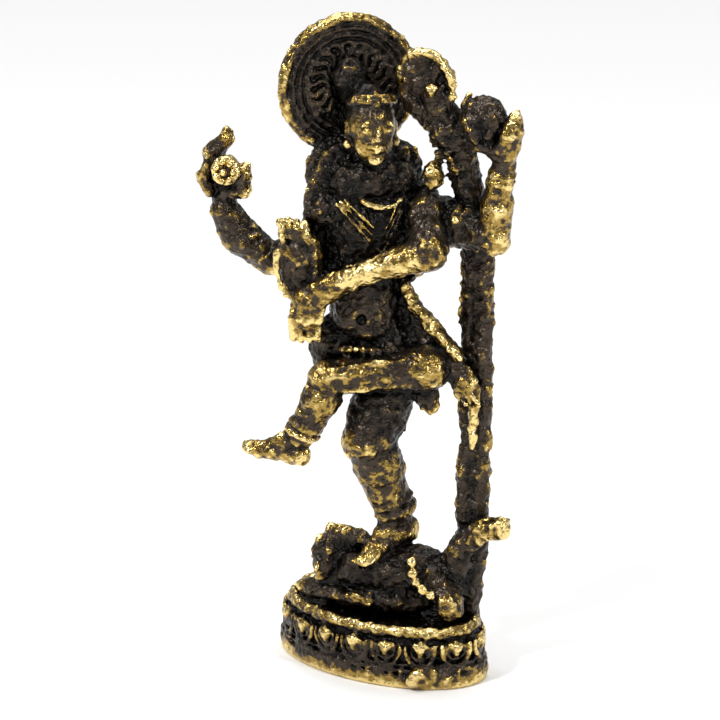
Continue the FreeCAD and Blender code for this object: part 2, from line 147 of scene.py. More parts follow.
def turned(turn, lean=0):
    """Axes of a part whose top is leaned toward +X and which is then turned about Z."""
    turn = math.radians(turn)
    lean = math.radians(lean)
    about_z = np.array(
        [[math.cos(turn), -math.sin(turn), 0], [math.sin(turn), math.cos(turn), 0], [0, 0, 1]])
    about_y = np.array(
        [[math.cos(lean), 0, math.sin(lean)], [0, 1, 0], [-math.sin(lean), 0, math.cos(lean)]])
    return about_z @ about_y


def egg(centre, half_sizes, turn=0, lean=0):
    """An ellipsoid with half sizes across, front to back and up."""
    axes = turned(turn, lean)
    half = np.array(half_sizes, float)
    reach = np.sqrt(((axes * half) ** 2).sum(axis=1))

    def distance(x, y, z):
        x, y, z = x - centre[0], y - centre[1], z - centre[2]
        scaled = 0
        steep = 0
        for axis, size in zip(axes.T, half):
            along = x * axis[0] + y * axis[1] + z * axis[2]
            scaled = scaled + (along / size) ** 2
            steep = steep + (along / size ** 2) ** 2
        scaled = np.sqrt(scaled)
        return scaled * (scaled - 1) / np.maximum(np.sqrt(steep), 1e-6)
    return [(centre - reach, centre + reach, distance)]


def limb(start, end, first, last, flat=None, thin=1.0):
    """A round-ended limb whose radius goes from first to last, pressed thinner along the direction flat."""
    span = end - start
    length_squared = float(span @ span)
    widest = max(first, last)

    def distance(x, y, z):
        x, y, z = x - start[0], y - start[1], z - start[2]
        share = np.clip((x * span[0] + y * span[1] + z * span[2]) / length_squared, 0, 1)
        x, y, z = x - share * span[0], y - share * span[1], z - share * span[2]
        squared = x ** 2 + y ** 2 + z ** 2
        radius = first + (last - first) * share
        if flat is None:
            return np.sqrt(squared) - radius
        across = x * flat[0] + y * flat[1] + z * flat[2]
        pressed = np.sqrt(squared + across ** 2 * (1 / thin ** 2 - 1))
        steep = np.sqrt(squared + across ** 2 * (1 / thin ** 4 - 1)) / np.maximum(pressed, 1e-6)
        return (pressed - radius) / np.maximum(steep, 1.0)
    low = np.minimum(start - first, end - last)
    high = np.maximum(start + first, end + last)
    return [(low - 0.01 * widest, high + 0.01 * widest, distance)]


def stations(start, end, *shares):
    """Points at these shares of the way from start to end."""
    return [between(start, end, share) for share in shares]


def path(base, *offsets):
    """Points at these offsets from base."""
    return [base + at(*offset) for offset in offsets]


def tube(points, radii, flat=None, thin=1.0):
    """Limbs end to end through the points; radii is one number or one for each point."""
    if not hasattr(radii, "__len__"):
        radii = [radii] * len(points)
    shapes = []
    for index in range(len(points) - 1):
        shapes += limb(points[index], points[index + 1], radii[index], radii[index + 1], flat, thin)
    return shapes


def along_and_out(x, y, z, centre, axis):
    """How far a place lies along an axis through centre, and how far out from it."""
    x, y, z = x - centre[0], y - centre[1], z - centre[2]
    along = x * axis[0] + y * axis[1] + z * axis[2]
    return along, np.sqrt(np.maximum(x ** 2 + y ** 2 + z ** 2 - along ** 2, 0))


def rounded(out, above, edge):
    """Distance from a slab whose rim is out and whose flat side is above, with its edge rounded off."""
    out, above = out + edge, above + edge
    outside = np.sqrt(np.maximum(out, 0) ** 2 + np.maximum(above, 0) ** 2)
    return outside + np.minimum(np.maximum(out, above), 0) - edge


def ring(centre, axis, radius, wire):
    axis = unit(axis)
    reach = radius * np.sqrt(np.maximum(1 - axis ** 2, 0)) + wire

    def distance(x, y, z):
        along, out = along_and_out(x, y, z, centre, axis)
        return np.sqrt((out - radius) ** 2 + along ** 2) - wire
    return [(centre - reach, centre + reach, distance)]


def disc(centre, axis, radius, half_thickness, edge):
    """A flat round plate with its edge rounded off."""
    axis = unit(axis)
    reach = radius * np.sqrt(np.maximum(1 - axis ** 2, 0)) + half_thickness

    def distance(x, y, z):
        along, out = along_and_out(x, y, z, centre, axis)
        return rounded(out - radius, np.abs(along) - half_thickness, edge)
    return [(centre - reach, centre + reach, distance)]


def from_oval(x, y, radius):
    """Level distance from the plinth's turned oval whose half length is radius."""
    x, y = x * PLINTH_COSINE + y * PLINTH_SINE, y * PLINTH_COSINE - x * PLINTH_SINE
    stretched = y / PLINTH_SQUEEZE
    out = np.sqrt(x ** 2 + stretched ** 2) + 1e-6
    steep = np.sqrt(x ** 2 + (stretched / PLINTH_SQUEEZE) ** 2) / out
    return (out - radius) / steep


def oval_reach(radius, wire):
    """Half sizes along X and Y of the turned oval, widened by wire."""
    long_way = radius * math.hypot(PLINTH_COSINE, PLINTH_SINE * PLINTH_SQUEEZE)
    short_way = radius * math.hypot(PLINTH_SINE, PLINTH_COSINE * PLINTH_SQUEEZE)
    return at(long_way + wire, short_way + wire, wire)


def drum(radius, low_z, high_z, edge):
    """An oval slab of the plinth."""
    def distance(x, y, z):
        above = np.abs(z - (low_z + high_z) / 2) - (high_z - low_z) / 2
        return rounded(from_oval(x, y, radius), above, edge)
    half = oval_reach(radius, 0)
    return [(at(0, 0, low_z) - half, at(0, 0, high_z) + half, distance)]


def oval_ring(radius, height, wire):
    def distance(x, y, z):
        return np.sqrt(from_oval(x, y, radius) ** 2 + (z - height) ** 2) - wire
    half = oval_reach(radius, wire)
    return [(at(0, 0, height) - half, at(0, 0, height) + half, distance)]


def arc(centre, across, upward, first, last, count):
    """Points on an ellipse arc; across and upward are its half axes, and angles are in degrees."""
    angles = np.radians(np.linspace(first, last, count))
    return [centre + across * math.cos(angle) + upward * math.sin(angle) for angle in angles]


def string_of_beads(points, radius):
    shapes = []
    for point in points:
        shapes += ball(point, radius)
    return shapes


# ---- The joints of the figure, as in the CAD or within a few tenths of it

HIP_STANDING = at(0.3, 0.2, 19.2)
KNEE_STANDING = at(-0.45, -1.2, 15.8)
ANKLE_STANDING = at(0.85, 0, 10.4)
TOES_STANDING = at(-0.7, -2.7, 7.5)
HIP_RAISED = at(3, -0.6, 20.9)
KNEE_RAISED = at(-2.7, -3.1, 20.2)
ANKLE_RAISED = at(-4.35, -3.4, 16.3)
HEEL_RAISED = at(-4.6, -3.3, 14.8)
TOES_RAISED = at(-8.55, -3.6, 15.05)
PELVIS = at(0.3, 0.3, 21)
BELLY = at(-1.2, -0.2, 24.7)
CHEST = at(-0.6, 0.2, 29.9)
NECK_BASE = at(-0.3, 0.1, 32.3)
HEAD = at(-0.5, -0.8, 36.6)
HEAD_SIZE = 1.12
DISC = at(-2.85, 1, 38.9)
DISC_RADIUS = 4.4
TOPKNOT = at(-2.3, -0.2, 39.9)
SHOULDER_RIGHT = at(-4.1, 0.2, 30.8)
ELBOW_RIGHT = at(-5.4, -1.3, 26.2)
PALM_RIGHT = at(-4.7, -3, 28.2)
FINGERS_RIGHT = at(-5, -3.3, 30.6)
SHOULDER_LEFT = at(3.1, 0, 31.2)
ELBOW_LEFT = at(3.9, -1.9, 29)
WRIST_LEFT = at(-1.4, -3.2, 27)
KNUCKLES_LEFT = at(-3.8, -3.3, 25.4)
FINGERS_LEFT = at(-4.1, -3.3, 22.7)
SHOULDER_DRUM = at(-4.2, 1.2, 29)
ELBOW_DRUM = at(-8.2, 0.7, 26.8)
BEND_DRUM = at(-10.35, 0.4, 28.2)
WRIST_DRUM = at(-11.4, 0.2, 30)
PALM_DRUM = at(-11.4, 0, 32.1)
FINGER_DRUM = at(-11.2, 0, 35.3)
THUMB_DRUM = at(-9.5, -0.5, 33.1)
DRUM = at(-10.7, -0.9, 33)
SHOULDER_FIRE = at(3.6, 1, 30.6)
ELBOW_FIRE = at(7.4, 0.5, 29.65)
WRIST_FIRE = at(8.1, 0.3, 34)
PALM_FIRE = at(8.35, 0.1, 35.6)
FINGERS_FIRE = at(9.1, -0.1, 37.9)
FLAME = at(6.9, 0, 37.4)
PILLAR_FOOT = at(5.15, 0.6, PLATE_TOP)
PILLAR_KNEE = at(6.05, 0.9, 9.5)
PILLAR_TOP = at(5.95, 1.9, 29.4)
NECK_BEND = at(5.4, 1.6, 32.6)
NECK_MIDDLE = at(5, 1.3, 34.6)
NECK_END = at(4.15, 1, 36.7)
HOOD = at(2.85, 0.6, 39.6)
DWARF_SHOULDER = at(-1.6, -1, 6.6)
DWARF_HIP = at(4.4, 0, 6.6)
DWARF_HEAD = at(-3.3, -1.4, 7.1)
DWARF_HAIR_TIP = at(-3.35, -1.1, 9.2)
DWARF_ELBOW = at(-4.3, -1.5, 4.9)
DWARF_HAND = at(-0.8, -2.6, 5.1)
DWARF_KNEE = at(5.6, -2, 5)
DWARF_ANKLE = at(7.2, -0.4, 10.1)
DWARF_SOLE = at(8.6, -0.7, 10.55)

components = {}


def component(name, wear, blend, *groups, carved=()):
    """Lists a component: its CAD node, how brightly it is worn, how softly its volumes join, its volumes."""
    shapes = []
    for group in groups:
        shapes += group
    components[name] = {"wear": wear, "shapes": shapes, "blend": blend, "carved": list(carved)}


def around_plinth(count, inset):
    """Evenly spaced (point, outward, sideways) on the plinth's oval, moved in by inset."""
    long_half = PLINTH_HALF - inset
    short_half = long_half * PLINTH_SQUEEZE
    angles = np.linspace(0, 2 * math.pi, 2000)
    speed = np.hypot(long_half * np.sin(angles), short_half * np.cos(angles))
    walked = np.concatenate(([0], np.cumsum((speed[1:] + speed[:-1]) / 2 * np.diff(angles))))
    places = []
    for goal in (np.arange(count) + 0.35) / count * walked[-1]:
        angle = np.interp(goal, walked, angles)
        point = turned(PLINTH_TURN) @ at(long_half * math.cos(angle), short_half * math.sin(angle), 0)
        outward = turned(PLINTH_TURN) @ unit(
            at(short_half * math.cos(angle), long_half * math.sin(angle), 0))
        places.append((point, outward, at(-outward[1], outward[0], 0)))
    return places


def sculpt_plinth():
    component("plinth_foot", 0.72, 0.25, drum(PLINTH_HALF, 0, 1, 0.22))
    component(
        "plinth_core", 0.1, 0.1, drum(PLINTH_HALF - 0.75, 0.4, PLATE_TOP, 0.15),
        oval_ring(PLINTH_HALF - 0.35, 1.22, 0.2), oval_ring(PLINTH_HALF - 0.5, 1.55, 0.16))
    rim = oval_ring(PLINTH_HALF - 1, PLATE_TOP + 0.08, 0.3)
    rim += oval_ring(PLINTH_HALF - 0.8, PLATE_TOP - 0.15, 0.22)
    component("plinth_rim", 0.6, 0.25, rim, egg(at(-5.7, 0.9, 4.45), (0.7, 1.1, 0.5), lean=-20))
    outlines = []
    beads = []
    for point, outward, sideways in around_plinth(PETAL_COUNT, 0.62):
        middle = point + UP * 2.75
        outlines += tube(arc(middle + outward * 0.12, sideways * 0.98, UP * -1.22, -8, 188, 11), 0.17)
        outlines += tube(
            arc(middle + outward * 0.16 + UP * 0.1, sideways * 0.66, UP * -0.9, 0, 180, 9), 0.13)
        turn = math.degrees(math.atan2(outward[0], -outward[1]))
        outlines += egg(middle - UP * 0.35 - outward * 0.2, (0.9, 0.3, 0.9), turn)
        beads += ball(middle + outward * 0.1 + UP * 0.03, 0.46)
        for across, high, radius in (
            (-0.3, 0.22, 0.24), (0.28, 0.2, 0.25), (0, -0.36, 0.24), (0, 0.42, 0.17)):
            beads += ball(middle + outward * 0.22 + sideways * across + UP * high, radius)
    component("lotus_petals", 0.55, 0.06, outlines)
    component("petal_beads", 0.62, 0.05, beads)
    component(
        "casting_blob", 0.5, 0.3, egg(at(4.95, -4.05, 0.95), (1.5, 0.65, 0.9), 42),
        egg(at(4.1, -4.5, 0.7), (0.7, 0.5, 0.6), 35), egg(at(5.9, -3.45, 0.8), (0.7, 0.5, 0.6), 48))


def sculpt_dwarf():
    back = between(DWARF_SHOULDER, DWARF_HIP, 0.45)
    component(
        "dwarf_torso", 0.25, 0.4, egg(back, (3.6, 1.9, 1.6), 8), egg(at(2.5, -0.2, 7.3), (1.9, 1.4, 1)),
        egg(DWARF_HIP + at(0.4, 0, -0.6), (1.3, 1.6, 1.5)), egg(at(-0.2, -0.3, 4.9), (4.5, 2.4, 1.35)),
        egg(DWARF_SHOULDER + at(0.2, -0.3, 0.2), (1.3, 1.5, 1.3)))
    front = facing(-15)
    side = facing(75)

    def face(right, forward, high):
        return DWARF_HEAD + side * right + front * forward + UP * high
    features = ball(DWARF_HEAD, 1.1) + egg(face(0, 0.45, -0.25), (0.85, 0.8, 0.95), -15)
    features += limb(face(0, 1.18, 0.2), face(0, 1.4, -0.22), 0.13, 0.22)
    features += tube([face(right, 1.2, -0.55) for right in (-0.28, 0, 0.28)], [0.1, 0.14, 0.1])
    features += ball(face(0, 1.02, -0.92), 0.3)
    for sign in (-1, 1):
        features += tube(arc(face(sign * 0.42, 1, 0.26), side * 0.3, UP * 0.16, 10, 170, 4), 0.1)
        features += ball(face(sign * 0.4, 0.98, 0.12), 0.16)
        features += egg(face(sign * 1.1, 0, -0.1), (0.22, 0.3, 0.45), -15)
    component("dwarf_head", 0.4, 0.1, features)
    hair = limb(between(DWARF_HEAD, DWARF_HAIR_TIP, 0.35), DWARF_HAIR_TIP, 1.15, 0.22)
    lying = path(DWARF_HEAD, (0.2, 0.3, 1.1), (1.3, 0.3, 1.5)) + path(DWARF_SHOULDER, (0.9, 0.1, 1.8))
    hair += tube(lying, [0.85, 0.6, 0.6])
    lying = [DWARF_HAIR_TIP] + path(DWARF_HEAD, (1.2, 0.2, 1.9), (2.3, 0.3, 1.7))
    hair += tube(lying, [0.3, 0.5, 0.6])
    for sign in (-0.6, 0, 0.6):
        low = face(sign, 0.75, 0.75)
        hair += tube(
            [low, between(low, DWARF_HAIR_TIP, 0.5) + front * 0.25, DWARF_HAIR_TIP], [0.25, 0.22, 0.14])
    component("dwarf_hair", 0.3, 0.12, hair)
    arm = tube([DWARF_SHOULDER + at(-0.6, -0.4, 0), DWARF_ELBOW, DWARF_HAND], [0.85, 0.65, 0.4])
    arm += egg(DWARF_ELBOW + at(-0.4, 0.1, 0.1), (0.95, 0.6, 0.5), -10)
    for spread in (-0.3, 0, 0.3):
        tip = DWARF_HAND + at(1, -0.15 + spread * 0.4, 0.15 + spread)
        arm += limb(DWARF_HAND + at(0, 0, spread * 0.5), tip, 0.3, 0.18)
    component("dwarf_arm", 0.4, 0.25, arm, egg(DWARF_HAND, (0.7, 0.45, 0.45), -15))
    beads = []
    for share in np.linspace(0, 1, 5):
        sag = at(-0.25, -0.25, -0.2) * math.sin(math.pi * share)
        beads.append(between(at(2.9, -2.15, 7.9), at(4.5, -2.8, 6), share) + sag)
    component("dwarf_beads", 0.7, 0.03, string_of_beads(beads, 0.34))
    leg = tube([DWARF_HIP + at(-0.3, -1, 0.1), DWARF_KNEE + at(0, 0, 0.3), DWARF_KNEE], [1, 0.9, 0.75])
    component("dwarf_near_leg", 0.38, 0.3, leg, egg(DWARF_KNEE + at(0, -0.2, -0.1), (0.95, 0.75, 0.7), 30))
    shin = between(DWARF_HIP, DWARF_ANKLE, 0.6) + at(-0.3, 0, 0.1)
    leg = tube([DWARF_HIP + at(0.5, 0, 0.3), shin, DWARF_ANKLE], [1.25, 0.8, 0.66])
    component("dwarf_raised_leg", 0.35, 0.3, leg)
    foot = limb(DWARF_ANKLE, DWARF_SOLE, 0.75, 0.62)
    foot += egg(DWARF_SOLE + at(0.1, 0, 0), (0.35, 0.6, 0.75), 0, lean=15)
    for spread in (-0.35, 0, 0.35):
        foot += limb(
            DWARF_SOLE + at(-0.5, spread - 0.1, 0.25), DWARF_SOLE + at(0.3, spread, 0.45), 0.2, 0.22)
    component("dwarf_raised_foot", 0.56, 0.12, foot)


def foot_shapes(ankle, heel, toes, width, sideways):
    """A foot with an instep, a flat sole and five toes."""
    ball_of_foot = between(heel, toes, 0.68)
    shapes = limb(heel, ball_of_foot, width, width * 0.8)
    shapes += limb(ankle, ball_of_foot, width * 1.05, width * 0.6)
    shapes += limb(ball_of_foot, between(heel, toes, 0.85), width * 0.8, width * 0.6)
    for index, spread in enumerate((-0.75, -0.38, 0, 0.38, 0.75)):
        root = ball_of_foot + sideways * spread * width * 0.8
        tip = between(heel, toes, 1 - 0.03 * index) + sideways * spread * width * 0.9
        shapes += limb(root, tip, width * 0.34, width * 0.27)
    return shapes


def sculpt_legs():
    shin_axis = unit(ANKLE_STANDING - KNEE_STANDING)
    raised_axis = unit(ANKLE_RAISED - KNEE_RAISED)
    thigh = tube(stations(HIP_STANDING, KNEE_STANDING, 0, 0.5, 1), [2, 1.9, 1.75])
    component("standing_thigh", 0.3, 0.4, thigh)
    calf = tube(stations(KNEE_STANDING, ANKLE_STANDING, 0, 0.35, 0.7, 1), [1.7, 1.62, 1.3, 1.1])
    component("standing_shin", 0.68, 0.5, calf, egg(KNEE_STANDING + at(-0.2, -0.5, 0), (1.3, 1.2, 1.2)))
    bands = ring(KNEE_STANDING - UP * 0.25, shin_axis, 1.68, 0.2)
    bands += ring(KNEE_STANDING + UP * 0.2, shin_axis, 1.7, 0.16)
    component("knee_band", 0.4, 0.1, bands)
    anklet = ANKLE_STANDING + at(-0.05, -0.05, 0.35)
    bands = ring(anklet, shin_axis, 1.12, 0.34) + ring(anklet - shin_axis * 0.65, shin_axis, 1.12, 0.28)
    component("standing_anklet", 0.4, 0.08, bands)
    heel = ANKLE_STANDING + at(0.6, 0.5, -1.1)
    component(
        "standing_foot", 0.72, 0.25, foot_shapes(ANKLE_STANDING, heel, TOES_STANDING, 0.85, facing(60)))
    thigh = tube(stations(HIP_RAISED, KNEE_RAISED, 0, 0.4, 0.8, 1), [1.45, 1.25, 1.14, 1.12])
    for high, first, last in ((0.75, 0.1, 0.75), (0.3, 0.25, 1), (-0.2, 0, 0.6), (-0.65, 0.3, 0.95)):
        outside = at(0.3, -1.15 + abs(high) * 0.35, high * 1.1)
        crease = [
            point + outside for point in stations(HIP_RAISED, KNEE_RAISED, first, (first + last) / 2, last)]
        thigh += tube(crease, [0.14, 0.24, 0.12])
    component("raised_thigh", 0.6, 0.22, thigh, egg(HIP_RAISED + at(0.25, 0.2, -0.1), (1.6, 1.5, 1.5)))
    calf = between(KNEE_RAISED, ANKLE_RAISED, 0.35) + at(0.2, 0, 0)
    shin = tube([KNEE_RAISED, calf, ANKLE_RAISED], [1.2, 1.28, 0.9])
    for out, first, last in ((-0.5, 0.15, 0.7), (0.05, 0, 0.85), (0.55, 0.2, 0.6)):
        high = between(KNEE_RAISED, ANKLE_RAISED, first) + at(out, -1.05 + abs(out) * 0.4, 0)
        low = between(KNEE_RAISED, ANKLE_RAISED, last) + at(out * 0.8, -0.85 + abs(out) * 0.4, 0)
        shin += limb(high, low, 0.24, 0.14)
    component("raised_shin", 0.57, 0.22, shin)
    low = between(KNEE_RAISED, ANKLE_RAISED, 0.97)
    bands = ring(low, raised_axis, 0.98, 0.27) + ring(low - raised_axis * 0.55, raised_axis, 0.98, 0.23)
    component("raised_anklet", 0.5, 0.06, bands)
    component("raised_foot", 0.5, 0.25, foot_shapes(ANKLE_RAISED, HEEL_RAISED, TOES_RAISED, 0.72, facing(0)))


def sculpt_body():
    waist = limb(BELLY - UP * 0.5, PELVIS, 2, 2.3, HIP_FRONT, 0.75)
    waist += egg(at(-2.5, 0, 22.2), (1.9, 1.6, 1.9), HIP_TURN)
    waist += egg(at(-3.5, -0.8, 21.8), (1.35, 1.4, 1.7), HIP_TURN)
    component("pelvis", 0.15, 0.5, egg(PELVIS, (3.3, 1.95, 1.9), HIP_TURN), waist)
    belt = []
    for height, radius in ((1, 0.3), (0.45, 0.22)):
        row = arc(PELVIS + at(-0.9, 0, height), HIP_SIDE * 2.75, HIP_FRONT * 2.3, 5, 175, 17)
        belt += string_of_beads(row, radius)
    component("belt", 0.3, 0.08, belt)
    navel = BELLY + HIP_FRONT * 2.15 - UP * 0.6
    belly = egg(BELLY + HIP_FRONT * 0.3, (2.25, 1.85, 2.7), HIP_TURN)
    belly += egg(BELLY + HIP_FRONT * 0.6 - UP * 0.6, (1.8, 1.5, 1.7), HIP_TURN)
    component("belly", 0.42, 0.4, belly, carved=ball(navel, 0.3))
    chest = egg(CHEST, (3.4, 1.9, 3), CHEST_TURN)
    chest += limb(CHEST - UP * 0.5, BELLY, 2.6, 2.1, CHEST_FRONT, 0.8)
    for sign in (-1, 1):
        chest += egg(
            CHEST + CHEST_FRONT * 1.1 + CHEST_SIDE * sign * 1.3 + UP * 0.4, (1.2, 0.9, 1), CHEST_TURN)
    chest += limb(CHEST + CHEST_SIDE * -3.2 + UP * 1.3, CHEST + CHEST_SIDE * 3 + UP * 1.6, 1.3, 1.3)
    chest += egg(at(-3.3, -0.3, 27.6), (1.3, 1.1, 2), CHEST_TURN)
    component("chest", 0.1, 0.5, chest)
    component(
        "neck", 0.15, 0.15, limb(NECK_BASE, HEAD + at(0.1, 0.4, -1.2), 1.15, 0.95),
        ring(NECK_BASE + UP * 0.9, UP, 1, 0.14))
    collar = NECK_BASE + CHEST_FRONT * 0.7 + UP * 0.2
    component(
        "necklace", 0.55, 0.1,
        tube(arc(collar, CHEST_SIDE * 1.6, CHEST_FRONT * 1.25 - UP * 0.9, -10, 190, 13), 0.13))
    point = CHEST + CHEST_FRONT * 2.3 + at(0.2, 0, -1.3)
    folds = []
    for step, radius in ((0, 0.1), (0.65, 0.09), (1.3, 0.08)):
        low = point + UP * step * 0.9
        for out in (step * 0.4 - 2.7, 1.8 - step * 0.3):
            high = CHEST + CHEST_FRONT * 1.7 + CHEST_SIDE * out + UP * (1.9 + step * 0.2)
            fold = [high, between(high, low, 0.5) + CHEST_FRONT * 0.25, low]
            folds += tube(fold, [radius * 0.8, radius, radius])
    component("chest_scarf", -0.05, 0.12, folds)
    drape = tube(
        [at(3.5, 0.9, 30.2), at(2.9, 1, 28.7), at(1.5, 1, 26.6)], [1.2, 1.05, 0.5], CHEST_FRONT, 0.5)
    for share in (0.05, 0.35, 0.65, 0.95):
        drape += ball(between(at(4.3, 0.8, 29.5), at(2, 0.8, 26.9), share), 0.36)
    component("back_drape", 0.08, 0.3, drape)
    edge = path(BELLY, (2.75, 0.1, 1.5), (3.4, 0, 0.3), (4.9, -0.1, -1.1)) + path(PELVIS, (5, -0.5, 0.8))
    sash = tube(edge, [0.5, 0.55, 0.6, 0.55], facing(100), 0.7)
    for index in range(9):
        share = index / 8 * 2.999
        sash += ball(between(edge[int(share)], edge[int(share) + 1], share % 1) + at(0.25, -0.4, 0), 0.24)
    sash += limb(BELLY + at(2.2, 0.7, 0.8), PELVIS + at(2.7, 0.5, 0.3), 0.75, 1.5, HIP_FRONT, 0.7)
    component("hip_sash", 0.42, 0.2, sash)
    flap = egg(at(3.3, -0.2, 18.7), (0.8, 0.45, 1.15), HIP_TURN, lean=-12)
    flap += limb(at(2.6, -0.2, 19.3), at(1.9, -0.2, 18.8), 0.7, 0.45)
    component("sash_flap", 0.1, 0.2, flap)


def sculpt_head():
    front = facing(HEAD_TURN)
    side = facing(HEAD_TURN + 90)

    def face(right, forward, high):
        return HEAD + (side * right + front * forward + UP * high) * HEAD_SIZE

    def lump(place, half_sizes):
        return egg(place, np.array(half_sizes) * HEAD_SIZE, HEAD_TURN)
    shapes = lump(face(0, 0, 0.35), (1.36, 1.6, 1.8)) + lump(face(0, 0.3, -0.65), (1.14, 1.22, 1.4))
    shapes += lump(face(0, 0.98, -1.7), (0.42, 0.4, 0.36))
    shapes += limb(face(0, 1.52, 0.3), face(0, 1.76, -0.38), 0.13, 0.2)
    for sign in (-1, 1):
        shapes += ball(face(sign * 0.2, 1.56, -0.45), 0.16)
        shapes += tube(arc(face(sign * 0.56, 1.4, 0.3), side * 0.42, UP * 0.22, 15, 165, 6), 0.09)
        shapes += lump(face(sign * 0.55, 1.38, 0.08), (0.33, 0.17, 0.14))
        shapes += lump(face(sign * 1.34, -0.1, -0.05), (0.2, 0.36, 0.58))
        shapes += ball(face(sign * 1.36, 0, -0.85), 0.34)
    upper_lip = [face(right, forward, high) for right, forward, high in
                 ((-0.38, 1.36, -0.9), (-0.12, 1.52, -0.84), (0.12, 1.52, -0.84), (0.38, 1.36, -0.9))]
    shapes += tube(upper_lip, [0.06, 0.12, 0.12, 0.06])
    shapes += tube(
        [face(-0.27, 1.34, -1.06), face(0, 1.47, -1.1), face(0.27, 1.34, -1.06)], [0.08, 0.14, 0.08])
    component("head", 0.58, 0.15, shapes)
    tilt = UP - front * 0.2
    band = ring(face(0, 0, 1.5), tilt, 1.45, 0.17) + ring(face(0, 0, 1.8), tilt, 1.33, 0.15)
    for angle in np.linspace(-60, 60, 7):
        turn = math.radians(angle)
        band += ball(face(math.sin(turn) * 1.3, math.cos(turn) * 1.32, 1.78), 0.19)
    component("diadem", 0.2, 0.1, band, limb(face(0, 1.2, 1.6), face(0, 0.95, 2.2), 0.34, 0.2))
    knot = egg(TOPKNOT - UP * 0.2, (1.1, 0.75, 0.95), HEAD_TURN)
    knot += egg(TOPKNOT + UP * 0.55, (0.75, 0.55, 0.5), HEAD_TURN)
    knot += limb(face(-0.2, -0.1, 1.5), TOPKNOT - UP * 0.8 - front * 0.3, 1.2, 0.85)
    for step in range(4):
        place = TOPKNOT + UP * (step * 0.42 - 0.75) + front * 0.1
        knot += tube(
            arc(place, side * (1 - step * 0.12), front * 0.75 + UP * (0.3 - step * 0.12), 20, 160, 7), 0.1)
    component("topknot", -0.15, 0.2, knot)
    component("ear_ornament", 0.35, 0.2, egg(at(3.45, 0.1, 33.5), (0.75, 0.7, 0.95), HEAD_TURN))
    rim = ring(DISC, front, DISC_RADIUS, 0.3) + ring(DISC + front * 0.35, front, DISC_RADIUS - 0.12, 0.17)
    component("disc_rim", 0.38, 0.1, rim)
    plate = disc(DISC, front, DISC_RADIUS, 0.45, 0.15)
    for radius in (3.75, 3.3, 2.85):
        plate += ring(DISC + front * 0.45, front, radius, 0.15)
    for radius in (3.4, 2.2, 1):
        plate += ring(DISC - front * 0.45, front, radius, 0.16)
    component("hair_disc", 0.18, 0.1, plate)
    locks = []
    for index in range(LOCK_COUNT):
        angle = math.radians(-40 + 260 * index / (LOCK_COUNT - 1))
        points = []
        for step in range(6):
            radius = 1.4 + step * 0.3
            wave = angle + 0.1 * math.sin(step * 1.4 + index * 0.7)
            flat = side * (radius * math.cos(wave)) + UP * (radius * math.sin(wave))
            points.append(DISC + flat + front * (0.62 - step * 0.02))
        locks += tube(points, [0.17, 0.19, 0.19, 0.18, 0.16, 0.13])
    component("hair_locks", 0.42, 0.05, locks)
    root = at(-1.3, 0.7, 33.2)
    hair = egg(root + at(-0.4, 0.2, 0.2), (3.9, 1.1, 2.7), CHEST_TURN, lean=4)
    hair += egg(at(-0.6, -0.2, 33), (2.9, 1.4, 1.6), CHEST_TURN)
    for sign in (-1, 1):
        for strand in range(7):
            out = (0.7 + (0.5 if sign < 0 else 0.36) * strand) * sign
            top = root + CHEST_SIDE * (out * 0.75) + CHEST_FRONT * 0.5 + UP * (2.4 - strand * 0.15)
            low = root + CHEST_SIDE * (out * 1.12) + CHEST_FRONT * (1.5 - strand * 0.12)
            low = low - UP * (1.6 + 0.35 * strand)
            middle = between(top, low, 0.5) + CHEST_SIDE * sign * 0.4 + CHEST_FRONT * 0.25
            hair += tube([top, middle, low], [0.34, 0.36, 0.28])
    component("shoulder_hair", 0.15, 0.12, hair)


def finger_row(palm, tips, across, count, spread, first, last, bend):
    shapes = []
    for index in range(count):
        offset = across * (spread * (index - (count - 1) / 2))
        short = abs(index - 1.2) * 0.12
        root = palm + offset
        tip = tips + offset * 1.1 + (palm - tips) * short * 0.3
        middle = between(root, tip, 0.5) + bend
        shapes += tube([root, middle, tip], [first, (first + last) / 2, last])
        shapes += ball(middle, first * 0.95)
    return shapes


